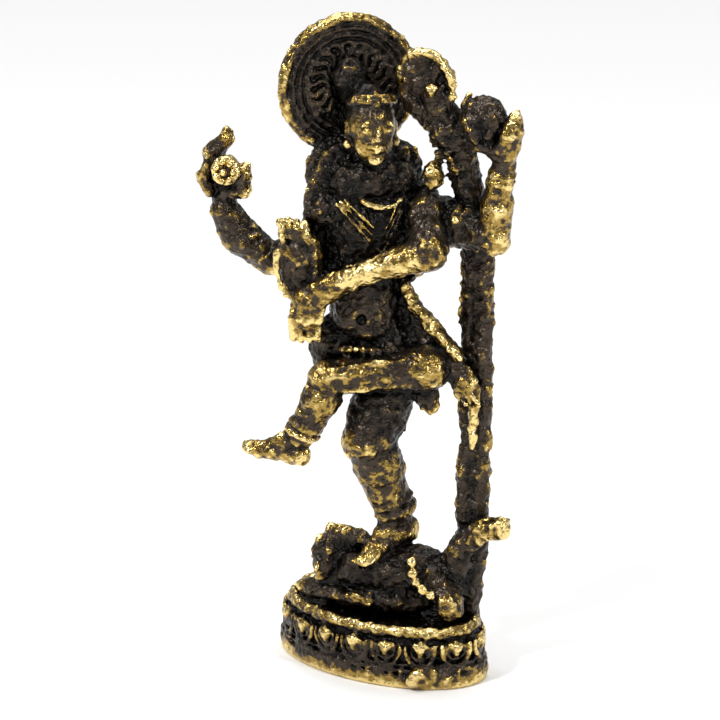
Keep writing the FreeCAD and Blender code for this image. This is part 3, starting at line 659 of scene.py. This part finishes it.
def sculpt_front_arms():
    component(
        "right_arm", 0.1, 0.4, tube(stations(SHOULDER_RIGHT, ELBOW_RIGHT, 0, 0.5, 1), [1.25, 1.1, 0.95]))
    wrist = ELBOW_RIGHT + at(0.5, -0.9, 0.1)
    hand = tube([ELBOW_RIGHT, wrist, PALM_RIGHT], [0.9, 0.8, 1.05], HIP_FRONT, 0.75)
    hand += finger_row(PALM_RIGHT + UP * 0.4, FINGERS_RIGHT, HIP_SIDE, 4, 0.48, 0.32, 0.24, HIP_FRONT * 0.1)
    thumb = [wrist + HIP_SIDE * 0.6]
    thumb += [PALM_RIGHT + HIP_SIDE * 1.2 + UP * 0.1, PALM_RIGHT + HIP_SIDE * 1.1 + UP * 1.2]
    hand += tube(thumb, [0.45, 0.36, 0.26])
    hand += egg(PALM_RIGHT + at(0, 0.2, -0.5), (1.45, 0.75, 2.4), HIP_TURN)
    hand += ring(wrist + UP * 0.2, PALM_RIGHT - wrist, 0.85, 0.2)
    hand += tube(arc(PALM_RIGHT + at(0, -0.35, -0.4), HIP_SIDE * 1.3, UP * 2.2, -200, 60, 13), 0.2)
    component("right_hand", 0.45, 0.15, hand)
    component("left_arm", 0.4, 0.4, tube([SHOULDER_LEFT, ELBOW_LEFT], [1.3, 1.2]))
    forearm = tube([ELBOW_LEFT, between(ELBOW_LEFT, WRIST_LEFT, 0.35), WRIST_LEFT], [1.15, 0.95, 0.7])
    forearm += ring(between(ELBOW_LEFT, WRIST_LEFT, 0.92), WRIST_LEFT - ELBOW_LEFT, 0.72, 0.2)
    component("left_forearm", 0.85, 0.3, forearm)
    hand = tube(
        [WRIST_LEFT, KNUCKLES_LEFT, between(KNUCKLES_LEFT, FINGERS_LEFT, 0.4)], [0.75, 1, 1], HIP_FRONT,
        0.75)
    hand += finger_row(KNUCKLES_LEFT, FINGERS_LEFT, HIP_SIDE, 4, 0.5, 0.38, 0.28, at(-0.15, -0.1, 0))
    hand += limb(between(WRIST_LEFT, KNUCKLES_LEFT, 0.6), FINGERS_LEFT + at(1.1, -0.2, 1.4), 0.4, 0.25)
    component("left_hand", 0.62, 0.12, hand)


def sculpt_rear_arms():
    component("drum_arm", 0.25, 0.3, tube([SHOULDER_DRUM, ELBOW_DRUM], [1.15, 0.9]))
    component("drum_forearm", 0.5, 0.3, tube([ELBOW_DRUM, BEND_DRUM, WRIST_DRUM], [1.1, 1.22, 1]))
    hand = tube([WRIST_DRUM] + path(PALM_DRUM, (0.1, 0.3, -0.4), (-0.5, 0.2, 0.9)), [0.75, 0.95, 0.75])
    raised_finger = path(
        PALM_DRUM, (-0.5, 0.1, 0), (-0.55, 0, 1.8)) + path(FINGER_DRUM, (0.1, 0, -0.3), (0, 0, 0))
    hand += tube(raised_finger, [0.7, 0.6, 0.42, 0.25])
    hand += tube(path(PALM_DRUM, (0.2, 0, -0.9), (1.5, -0.2, -0.5)) + [THUMB_DRUM], [0.75, 0.55, 0.42])
    curled_finger = path(PALM_DRUM, (-0.7, -0.5, -0.8), (-1, -0.8, 0.3), (-0.7, -0.6, 1.6))
    hand += tube(curled_finger, [0.45, 0.42, 0.36])
    component("drum_hand", 0.2, 0.2, hand)
    axis = facing(12)
    petals = []
    for index in range(7):
        angle = 2 * math.pi * index / 7
        around = facing(102) * (0.6 * math.cos(angle)) + UP * (0.66 * math.sin(angle))
        petals += ball(DRUM + axis * 0.8 + around, 0.23)
    component(
        "drum", 0.82, 0.04, disc(DRUM + axis * 0.2, axis, 0.98, 0.45, 0.15), ball(DRUM + axis * 0.85, 0.24),
        petals)
    component("fire_arm", 0.45, 0.3, tube(stations(SHOULDER_FIRE, ELBOW_FIRE, 0, 0.5, 1), [1.5, 1.25, 1.1]))
    forearm = tube(stations(ELBOW_FIRE, WRIST_FIRE, 0, 0.5, 1), [1.05, 0.98, 0.8])
    forearm += egg(ELBOW_FIRE + at(0.1, 0, -0.1), (1.15, 0.95, 0.75))
    component("fire_forearm", 0.65, 0.3, forearm)
    upper_axis = unit(ELBOW_FIRE - SHOULDER_FIRE)
    cuff = between(SHOULDER_FIRE, ELBOW_FIRE, 0.35)
    bands = ring(cuff, upper_axis, 1.28, 0.26) + ring(cuff + upper_axis * 0.5, upper_axis, 1.22, 0.22)
    component("armlet", 0.7, 0.1, bands, ball(cuff + at(0.2, -1.2, 0.6), 0.4))
    fore_axis = unit(WRIST_FIRE - ELBOW_FIRE)
    component(
        "bracelet", 0.6, 0.06, ring(WRIST_FIRE, fore_axis, 0.74, 0.22),
        ring(WRIST_FIRE - fore_axis * 0.45, fore_axis, 0.78, 0.2))
    hand = tube(
        [WRIST_FIRE, PALM_FIRE, between(PALM_FIRE, FINGERS_FIRE, 0.6) + at(0.2, 0, 0), FINGERS_FIRE],
        [0.7, 0.85, 0.65, 0.45])
    thumb = path(PALM_FIRE, (-0.3, -0.4, 0), (-1.5, -0.4, 0.4), (-2.2, -0.3, 1.6))
    hand += tube(thumb, [0.6, 0.5, 0.36])
    finger = path(PALM_FIRE, (0, -0.6, 0.2), (0.5, -0.9, 1.2)) + path(FINGERS_FIRE, (-0.1, -0.5, -0.2))
    hand += tube(finger, [0.5, 0.42, 0.32])
    component("fire_hand", 0.5, 0.18, hand)
    flame = egg(FLAME + at(0.1, 0, 0.1), (1.65, 1.2, 1.55))
    for tongue in (
        ((-0.7, -0.3, 0.2), (-1.2, -0.2, 1), (-1, 0, 1.7)),
        ((0.1, -0.6, 0.2), (0.2, -0.6, 1.1), (0, -0.2, 1.5)),
        ((0.7, 0.1, 0.2), (1.1, 0, 0.9), (0.7, 0, 1.4)),
        ((-0.2, 0.6, 0.2), (-0.4, 0.6, 1), (-0.2, 0.3, 1.6)),
        ((-0.1, -0.9, -0.7), (-0.7, -0.95, 0.1), (-0.5, -0.7, 1.1)),
        ((0.6, -0.8, -0.6), (1, -0.75, 0.2), (0.4, -0.6, 1.2)),
    ):
        flame += tube(path(FLAME, *tongue), [0.5, 0.34, 0.16])
    component("flame", 0.16, 0.16, flame)


def sculpt_cobra():
    rods = []
    for sign in (-1, 1):
        shift = at(sign * 0.48, 0, 0)
        middle = between(PILLAR_KNEE, PILLAR_TOP, 0.5)
        rod = [PILLAR_FOOT + shift * 1.3, PILLAR_KNEE + shift * 1.1]
        rod += [middle + shift, PILLAR_TOP + shift * 0.9]
        rods += tube(rod, [0.8, 0.64, 0.62, 0.6])
    rods += tube([PILLAR_FOOT, PILLAR_KNEE, PILLAR_TOP], [0.7, 0.62, 0.6])
    rods += limb(at(4.95, 1.4, 23.8), at(5, 1.7, 28.2), 0.2, 0.2)
    component("cobra_pillar", 0.25, 0.1, rods)
    neck = tube([PILLAR_TOP - UP * 0.2, NECK_BEND, NECK_MIDDLE, NECK_END], [0.95, 0.98, 1.02, 1.35])
    for index in range(12):
        share = index / 11
        wide = 0.6 + 0.5 * share
        place = between(NECK_BEND, NECK_END, share) + at(-0.1, -0.55 - 0.65 * wide, 0)
        neck += tube([place - at(wide, -0.35, 0.1), place, place + at(wide, 0.4, 0.1)], 0.15)
    component("cobra_neck", 0.28, 0.12, neck)
    rim = arc(HOOD + at(0, -0.25, 0), at(1.55, 0, 0.6), at(-0.85, 0, 1.85), -60, 215, 15)
    hood = egg(HOOD, (1.7, 0.55, 2.1), 12, lean=-25) + limb(NECK_END, HOOD + at(0.4, 0.1, -0.8), 1.3, 0.9)
    hood += tube([NECK_END + at(-0.3, -0.1, 0.4), at(2.9, 0.7, 37.4), at(1.9, 0.6, 38.1)], [0.85, 0.8, 0.7])
    hood += tube(rim, 0.3)
    for index in range(5):
        low = HOOD + at(0.5, -0.5, -1.2)
        hood += limb(low, rim[3 + 2 * index], 0.16, 0.12)
    component("cobra_hood", 0.42, 0.12, hood, ball(HOOD + at(0.55, -0.6, -0.35), 0.42))
    fan = egg(at(5.7, -0.1, 19.9), (0.9, 0.5, 1.7), 10, lean=-28)
    for spread in (-0.6, -0.2, 0.2, 0.6):
        fan += limb(at(4.9, -0.3, 21.2), at(6.2 + spread, -0.5, 18.6 + abs(spread) * 0.4), 0.28, 0.2)
    fan += limb(at(6.4, -0.1, 18.4), at(6.25, 0.1, 15.6), 0.42, 0.22)
    component("sash_end", 0.38, 0.12, fan)


for sculpt in (
    sculpt_plinth, sculpt_dwarf, sculpt_legs, sculpt_body, sculpt_head, sculpt_front_arms, sculpt_rear_arms,
    sculpt_cobra):
    sculpt()


# ---- One grid for the whole figure

corners = [shape[0] for item in components.values() for shape in item["shapes"]]
tops = [shape[1] for item in components.values() for shape in item["shapes"]]
grid_edge = 3 * VOXEL + GRID_EDGE
grid_low = np.min(corners, axis=0) - grid_edge
grid_count = np.ceil((np.max(tops, axis=0) + grid_edge - grid_low) / VOXEL).astype(int)
lines = [(grid_low[axis] + VOXEL * np.arange(grid_count[axis])).astype(np.float32) for axis in range(3)]


def window(low, high):
    """The slices of the grid that cover a box."""
    first = np.clip(np.floor((low - grid_low) / VOXEL).astype(int), 0, grid_count)
    last = np.clip(np.ceil((high - grid_low) / VOXEL).astype(int) + 1, 0, grid_count)
    return tuple(slice(a, b) for a, b in zip(first, last))


def inside_of(cells, inner):
    """The window inner, counted from the start of the window cells."""
    return tuple(slice(b.start - a.start, b.stop - a.start) for a, b in zip(cells, inner))


def coordinates(cells):
    """x, y and z of a window of the grid, shaped so that they spread over each other."""
    return (
        lines[0][cells[0]][:, None, None], lines[1][cells[1]][None, :, None],
        lines[2][cells[2]][None, None, :])


def softly_lower(values, cells, other, blend):
    """Joins other into values at cells, with a fillet of about blend."""
    held = values[cells]
    near = np.maximum(blend - np.abs(held - other), 0) / blend
    values[cells] = np.minimum(held, other) - near * near * (blend / 4)


def sculpt_field():
    """The distance from the skin at each grid point, and the number of the component nearest to it."""
    field = np.full(grid_count, FAR, np.float32)
    nearest = np.full(grid_count, FAR, np.float32)
    label = np.zeros(grid_count, np.uint8)
    for number, item in enumerate(components.values()):
        low = np.min([shape[0] for shape in item["shapes"]], axis=0) - MARGIN
        high = np.max([shape[1] for shape in item["shapes"]], axis=0) + MARGIN
        cells = window(low, high)
        local = np.full([part.stop - part.start for part in cells], FAR, np.float32)
        for shape_low, shape_high, distance in item["shapes"]:
            inner = window(shape_low - MARGIN, shape_high + MARGIN)
            softly_lower(
                local, inside_of(cells, inner), distance(*coordinates(inner)).astype(np.float32),
                item["blend"])
        for shape_low, shape_high, distance in item["carved"]:
            inner = window(
                np.maximum(shape_low - MARGIN, low + VOXEL), np.minimum(shape_high + MARGIN, high - VOXEL))
            shifted = inside_of(cells, inner)
            local[shifted] = np.maximum(local[shifted], -distance(*coordinates(inner)).astype(np.float32))
        closer = local < nearest[cells]
        label[cells][closer] = number
        nearest[cells] = np.minimum(nearest[cells], local)
        softly_lower(field, cells, local, SEAM_BLEND)
    return field, label


def lattice_noise(spacing, seed):
    """Smooth noise from -1 to 1 with bumps about spacing across, the same in any grid."""
    chance = np.random.default_rng(seed)
    knots = np.ceil(np.array(grid_count) * VOXEL / spacing).astype(int) + 4
    values = chance.uniform(-1, 1, knots).astype(np.float32)
    for axis in range(3):
        place = (lines[axis] - grid_low[axis]) / spacing
        whole = np.floor(place).astype(int)
        share = place - whole
        share = share * share * (3 - 2 * share)
        values = np.moveaxis(values, axis, 0)
        shape = (-1,) + (1,) * (values.ndim - 1)
        values = values[whole] * (1 - share).reshape(shape) + values[whole + 1] * share.reshape(shape)
        values = np.moveaxis(values.astype(np.float32), 0, axis)
    return values


def blurred(values, radius):
    """A soft blur: two box averages along each axis."""
    width = max(1, int(round(radius / VOXEL)))
    for axis in range(3):
        for _ in range(2):
            padded = np.pad(
                values, [(width + 1, width) if a == axis else (0, 0) for a in range(3)], mode="edge")
            total = np.cumsum(padded, axis=axis, dtype=np.float64)
            upper = [slice(None)] * 3
            lower = [slice(None)] * 3
            upper[axis] = slice(2 * width + 1, None)
            lower[axis] = slice(0, -(2 * width + 1))
            values = ((total[tuple(upper)] - total[tuple(lower)]) / (2 * width + 1)).astype(np.float32)
    return values


field, label = sculpt_field()
# no grain next to the underside, so that the plinth rests flat
plinth_band = np.clip((lines[2] - 0.1) / 0.4, 0.0, 1.0)[None, None, :]
wear_of_piece = np.array([item["wear"] for item in components.values()], np.float32)
grain_of_piece = 1 - WORN_SMOOTH * np.minimum(wear_of_piece, 1)
for number, name in enumerate(components):
    if name in FINE_PIECES:
        grain_of_piece[number] = FINE_GRAIN
grain_left = blurred(grain_of_piece[label], FINE_RELIEF) * plinth_band
for seed, (spacing, depth) in enumerate(GRAIN):
    field += lattice_noise(spacing, seed) * depth * grain_left
floor_cut = (FLOOR_GAP - lines[2])[None, None, :]
field = np.maximum(field, floor_cut)

solid = np.clip(0.5 - field / (2 * VOXEL), 0, 1).astype(np.float32)
fine_fill = blurred(solid, FINE_RELIEF)
wide_fill = blurred(solid, WIDE_RELIEF)
wear_field = blurred(wear_of_piece[label] * solid, FINE_RELIEF) / np.maximum(fine_fill, 0.02)


# ---- Meshes: surface nets over the grid, one closed mesh for each component

names = list(components)
inside = field < 0
owner = np.where(inside, label.astype(np.int16) + 1, 0)


def crossing_edges(axis):
    """Grid edges along axis with different owners at their ends: their indices and both owners."""
    near = [slice(None)] * 3
    far = [slice(None)] * 3
    near[axis] = slice(0, -1)
    far[axis] = slice(1, None)
    start = owner[tuple(near)]
    end = owner[tuple(far)]
    where = np.argwhere(start != end)
    keys = tuple(where.T)
    return where, start[keys], end[keys]


cell_shape = np.array(grid_count) - 1
cell_total = int(np.prod(cell_shape))
outer_sum = np.zeros((3, cell_total), np.float32)
outer_hits = np.zeros(cell_total, np.float32)
inner_sum = np.zeros((3, cell_total), np.float32)
inner_hits = np.zeros(cell_total, np.float32)
edges_by_axis = []
for axis in range(3):
    where, start, end = crossing_edges(axis)
    step = np.zeros(3, int)
    step[axis] = 1
    first = field[tuple(where.T)]
    second = field[tuple((where + step).T)]
    outer = (start == 0) != (end == 0)
    share = np.where(outer, first / np.where(outer, first - second, 1), 0.5)
    places = where + step * share[:, None]
    others = [a for a in range(3) if a != axis]
    around = []
    for shift_a, shift_b in ((-1, -1), (0, -1), (0, 0), (-1, 0)):
        cell = where.copy()
        cell[:, others[0]] += shift_a
        cell[:, others[1]] += shift_b
        around.append(cell)
    valid = np.all([(cell >= 0).all(axis=1) & (cell < cell_shape).all(axis=1) for cell in around], axis=0)
    around = [np.ravel_multi_index(tuple(cell[valid].T), cell_shape) for cell in around]
    places, outer, start, end = places[valid], outer[valid], start[valid], end[valid]
    for cell in around:
        for total, hits, chosen in ((outer_sum, outer_hits, outer), (inner_sum, inner_hits, ~outer)):
            hits += np.bincount(cell[chosen], minlength=cell_total).astype(np.float32)
            for a in range(3):
                total[a] += np.bincount(
                    cell[chosen], weights=places[chosen, a], minlength=cell_total).astype(np.float32)
    edges_by_axis.append((np.stack(around, axis=1), start, end, axis))

used = np.flatnonzero((outer_hits + inner_hits) > 0)
number_of_cell = np.full(cell_total, -1, np.int64)
number_of_cell[used] = np.arange(len(used))
on_skin = outer_hits[used] > 0
points = np.where(
    on_skin[:, None], (outer_sum[:, used] / np.maximum(outer_hits[used], 1)).T,
    (inner_sum[:, used] / np.maximum(inner_hits[used], 1)).T)


def sampled(values, places):
    """Trilinear samples of a grid at places given in grid steps."""
    base = np.clip(np.floor(places).astype(int), 0, np.array(grid_count) - 2)
    share = (places - base).astype(np.float32)
    result = 0
    for corner in np.ndindex(2, 2, 2):
        weight = np.prod([share[:, a] if corner[a] else 1 - share[:, a] for a in range(3)], axis=0)
        result = result + weight * values[tuple((base + corner).T)]
    return result


fine = sampled(fine_fill, points)
wide = sampled(wide_fill, points)
# 0.5 is flat; less is a bump that hands reach, more is a hollow that keeps its dark patina
exposed = (0.5 - fine) * FINE_RELIEF_WEIGHT + (0.5 - wide) * WIDE_RELIEF_WEIGHT
wear = np.clip(exposed + PIECE_WEIGHT * sampled(wear_field, points), -1, 1.5)
positions = (points * VOXEL + grid_low) * UNIT


def faces_of(number):
    """Quads of one component, wound so that they face outward."""
    quads = []
    skins = []
    for around, start, end, axis in edges_by_axis:
        flip = axis == 1
        for mine, reverse in ((start == number + 1, flip), (end == number + 1, not flip)):
            chosen = number_of_cell[around[mine]]
            quads.append(chosen[:, ::-1] if reverse else chosen)
            other = end[mine] if reverse == flip else start[mine]
            skins.append(other == 0)
    return np.concatenate(quads), np.concatenate(skins)


def make_mesh(name, number, material):
    """The finished piece of one component, with its wear as a value on each vertex."""
    quads, skin = faces_of(number)
    if len(quads) == 0:
        raise RuntimeError(name + " has no surface")
    kept, flat = np.unique(quads, return_inverse=True)
    flat = flat.reshape(-1, 4)
    mesh = bpy.data.meshes.new(name)
    mesh.vertices.add(len(kept))
    mesh.vertices.foreach_set("co", positions[kept].astype(np.float32).ravel())
    mesh.loops.add(flat.size)
    mesh.loops.foreach_set("vertex_index", flat.astype(np.int32).ravel())
    mesh.polygons.add(len(flat))
    mesh.polygons.foreach_set("loop_start", np.arange(0, flat.size, 4, dtype=np.int32))
    mesh.update(calc_edges=True)
    mesh.polygons.foreach_set("use_smooth", np.ones(len(flat), bool))
    # a seam edge lies between a skin face and a hidden face, and is kept sharp
    edge_of_loop = np.zeros(flat.size, np.int32)
    mesh.loops.foreach_get("edge_index", edge_of_loop)
    loop_skin = np.repeat(skin, 4)
    touched_skin = np.zeros(len(mesh.edges), bool)
    touched_inner = np.zeros(len(mesh.edges), bool)
    touched_skin[edge_of_loop[loop_skin]] = True
    touched_inner[edge_of_loop[~loop_skin]] = True
    sharp = mesh.attributes.new("sharp_edge", "BOOLEAN", "EDGE")
    sharp.data.foreach_set("value", touched_skin & touched_inner)
    layer = mesh.attributes.new("wear", "FLOAT", "POINT")
    layer.data.foreach_set("value", wear[kept].astype(np.float32))
    mesh.materials.append(material)
    mesh.validate()
    piece = bpy.data.objects.new("cast_" + name, mesh)
    bpy.context.scene.collection.objects.link(piece)
    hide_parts(name)
    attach(piece, "root")
    return piece


# ---- Materials

class Nodes:
    """Adds nodes to a material, with their inputs given by name."""

    def __init__(self, name):
        self.material = bpy.data.materials.new(name)
        self.material.use_nodes = True
        self.tree = self.material.node_tree
        self.tree.nodes.clear()

    def feed(self, socket, value):
        """Links an input to another node's output, or sets it to a constant."""
        if isinstance(value, bpy.types.NodeSocket):
            self.tree.links.new(value, socket)
        else:
            socket.default_value = value

    def add(self, kind, settings=None, **inputs):
        node = self.tree.nodes.new(kind)
        for key, value in (settings or {}).items():
            setattr(node, key, value)
        for key, value in inputs.items():
            self.feed(node.inputs[key.replace("_", " ")], value)
        return node

    def noise(self, place, size, detail, rough=0.55):
        """Noise with features of about size millimetres."""
        node = self.add(
            "ShaderNodeTexNoise", Vector=place, Scale=1 / (size * UNIT), Detail=detail, Roughness=rough)
        return node.outputs["Factor"] if "Factor" in node.outputs else node.outputs["Fac"]

    def sum(self, first, second, scale):
        """first plus scale times second."""
        node = self.add("ShaderNodeMath", {"operation": "MULTIPLY_ADD"})
        for socket, value in zip(node.inputs, (second, scale, first)):
            self.feed(socket, value)
        return node.outputs[0]

    def ramp(self, value, low, high):
        """Goes softly from 0 to 1 while value goes from low to high."""
        inputs = {"Value": value, "From Min": low, "From Max": high}
        return self.add(
            "ShaderNodeMapRange", {"interpolation_type": "SMOOTHSTEP"}, **inputs).outputs["Result"]

    def mix(self, share, first, second):
        """A colour between first and second; a colour mix has its sockets 6 and 7 for them."""
        node = self.add("ShaderNodeMix", {"data_type": "RGBA"})
        for index, value in ((0, share), (6, first), (7, second)):
            self.feed(node.inputs[index], value)
        return node.outputs[2]

    def number(self, share, first, second):
        """A number between first and second."""
        inputs = {"Value": share, "To Min": first, "To Max": second}
        return self.add("ShaderNodeMapRange", {"interpolation_type": "LINEAR"}, **inputs).outputs["Result"]

    def finish(self, shader):
        """The finished material with this shader on its surface."""
        self.add("ShaderNodeOutputMaterial", Surface=shader.outputs["BSDF"])
        return self.material


DEEP_PATINA = (0.004, 0.003, 0.002, 1)
THIN_PATINA = (0.045, 0.032, 0.021, 1)
DULL_BRASS = (0.20, 0.125, 0.030, 1)
WARM_BRASS = (0.42, 0.28, 0.07, 1)
POLISHED_BRASS = (0.82, 0.62, 0.25, 1)
BUMP_HEIGHT = 0.22


def cast_brass(name, shift):
    """Brass that shows where wear is high, under a dark patina where it is low; shift moves the balance."""
    nodes = Nodes(name)
    place = nodes.add("ShaderNodeTexCoord").outputs["Object"]
    worn = nodes.add("ShaderNodeAttribute", {"attribute_name": "wear"}).outputs["Fac"]
    patches = nodes.noise(place, 1.6, 3)
    pits = nodes.noise(place, 0.38, 4, 0.65)
    specks = nodes.noise(place, 0.16, 3, 0.6)
    balance = nodes.sum(worn, patches, 0.8)
    balance = nodes.sum(balance, pits, 0.7)
    balance = nodes.sum(balance, specks, 0.34)
    bright = nodes.ramp(balance, 1.59 - shift, 1.70 - shift)
    polished = nodes.ramp(balance, 1.75 - shift, 2.02 - shift)
    warm = nodes.mix(nodes.noise(place, 0.9, 2), DULL_BRASS, WARM_BRASS)
    metal = nodes.mix(polished, warm, POLISHED_BRASS)
    patina = nodes.mix(nodes.ramp(balance, 1.0 - shift, 1.5 - shift), DEEP_PATINA, THIN_PATINA)
    colour = nodes.mix(bright, patina, metal)
    height = nodes.sum(nodes.noise(place, 0.75, 2), nodes.noise(place, 0.3, 2), 0.45)
    height = nodes.sum(height, specks, 0.12)
    bump = nodes.add("ShaderNodeBump", Height=height, Strength=1.0, Distance=BUMP_HEIGHT * UNIT)
    shader = nodes.add("ShaderNodeBsdfPrincipled", Base_Color=colour, Normal=bump.outputs["Normal"])
    nodes.tree.links.new(nodes.number(bright, 0.7, 1.0), shader.inputs["Metallic"])
    nodes.tree.links.new(nodes.number(bright, 0.27, 0.2), shader.inputs["Roughness"])
    return nodes.finish(shader)


slots = {part["node"]: part["material_slot"] for part in frame["record"]["subparts"]}
materials = {"brass": cast_brass("worn_brass", 0.04), "dark_brass": cast_brass("patinated_brass", -0.02)}
for number, name in enumerate(names):
    piece = make_mesh(name, number, materials[slots[name]])


# ---- Floor, light and camera

def plain_material(name, colour, roughness):
    nodes = Nodes(name)
    shader = nodes.add("ShaderNodeBsdfPrincipled", Base_Color=colour, Roughness=roughness)
    return nodes.finish(shader)


bpy.context.scene.view_settings.view_transform = "Standard"
height = bounds_before[1][2] - bounds_before[0][2]
bpy.ops.mesh.primitive_plane_add(size=height * 60, location=(0, 0, 0))
floor = bpy.context.object
floor.name = "floor"
floor.data.materials.append(plain_material("pale_floor", (0.93, 0.93, 0.93, 1), 0.6))

world = bpy.context.scene.world or bpy.data.worlds.new("studio")
bpy.context.scene.world = world
world.use_nodes = True
world.node_tree.nodes["Background"].inputs["Color"].default_value = (1, 1, 1, 1)
world.node_tree.nodes["Background"].inputs["Strength"].default_value = 0.3


def softbox(name, direction, size, power):
    """An area light as far away as six heights, aimed at the middle of the figure."""
    middle = at(0, 0, height / 2)
    place = middle + unit(at(*direction)) * height * 6
    light = bpy.data.lights.new(name, "AREA")
    light.shape = "SQUARE"
    light.size = size * height
    light.energy = power * height ** 2
    lamp = bpy.data.objects.new(name, light)
    lamp.location = place
    bpy.context.scene.collection.objects.link(lamp)
    look_at(lamp, middle)
    return lamp


def look_at(thing, target):
    away = unit(np.array(thing.location) - target)
    side = unit(np.cross(UP, away))
    upward = np.cross(away, side)
    thing.rotation_euler = Matrix(np.stack((side, upward, away), axis=1).tolist()).to_euler()


softbox("key_light", (-0.6, -1.0, 1.2), 0.7, 225)
softbox("fill_light", (1.3, -0.5, 0.8), 0.5, 120)
sky = bpy.data.lights.new("sky_light", "SUN")
sky.energy = 2.1
sky.angle = math.radians(50)
sky_lamp = bpy.data.objects.new("sky_light", sky)
sky_lamp.rotation_euler = (math.radians(-18), math.radians(-8), 0)
bpy.context.scene.collection.objects.link(sky_lamp)

CAMERA_TURN = 22
CAMERA_RISE = 16
CAMERA_DISTANCE = 5.0
camera_data = bpy.data.cameras.new("camera")
camera_data.sensor_width = 36
camera_data.lens = 166.5
camera_data.shift_x = -0.032
camera_data.shift_y = -0.008
camera = bpy.data.objects.new("camera", camera_data)
target = at(0, 0, height * 0.487)
turn, rise = math.radians(CAMERA_TURN), math.radians(CAMERA_RISE)
view = at(math.sin(turn) * math.cos(rise), -math.cos(turn) * math.cos(rise), math.sin(rise))
camera.location = target + view * height * CAMERA_DISTANCE
bpy.context.scene.collection.objects.link(camera)
look_at(camera, target)
bpy.context.scene.camera = camera
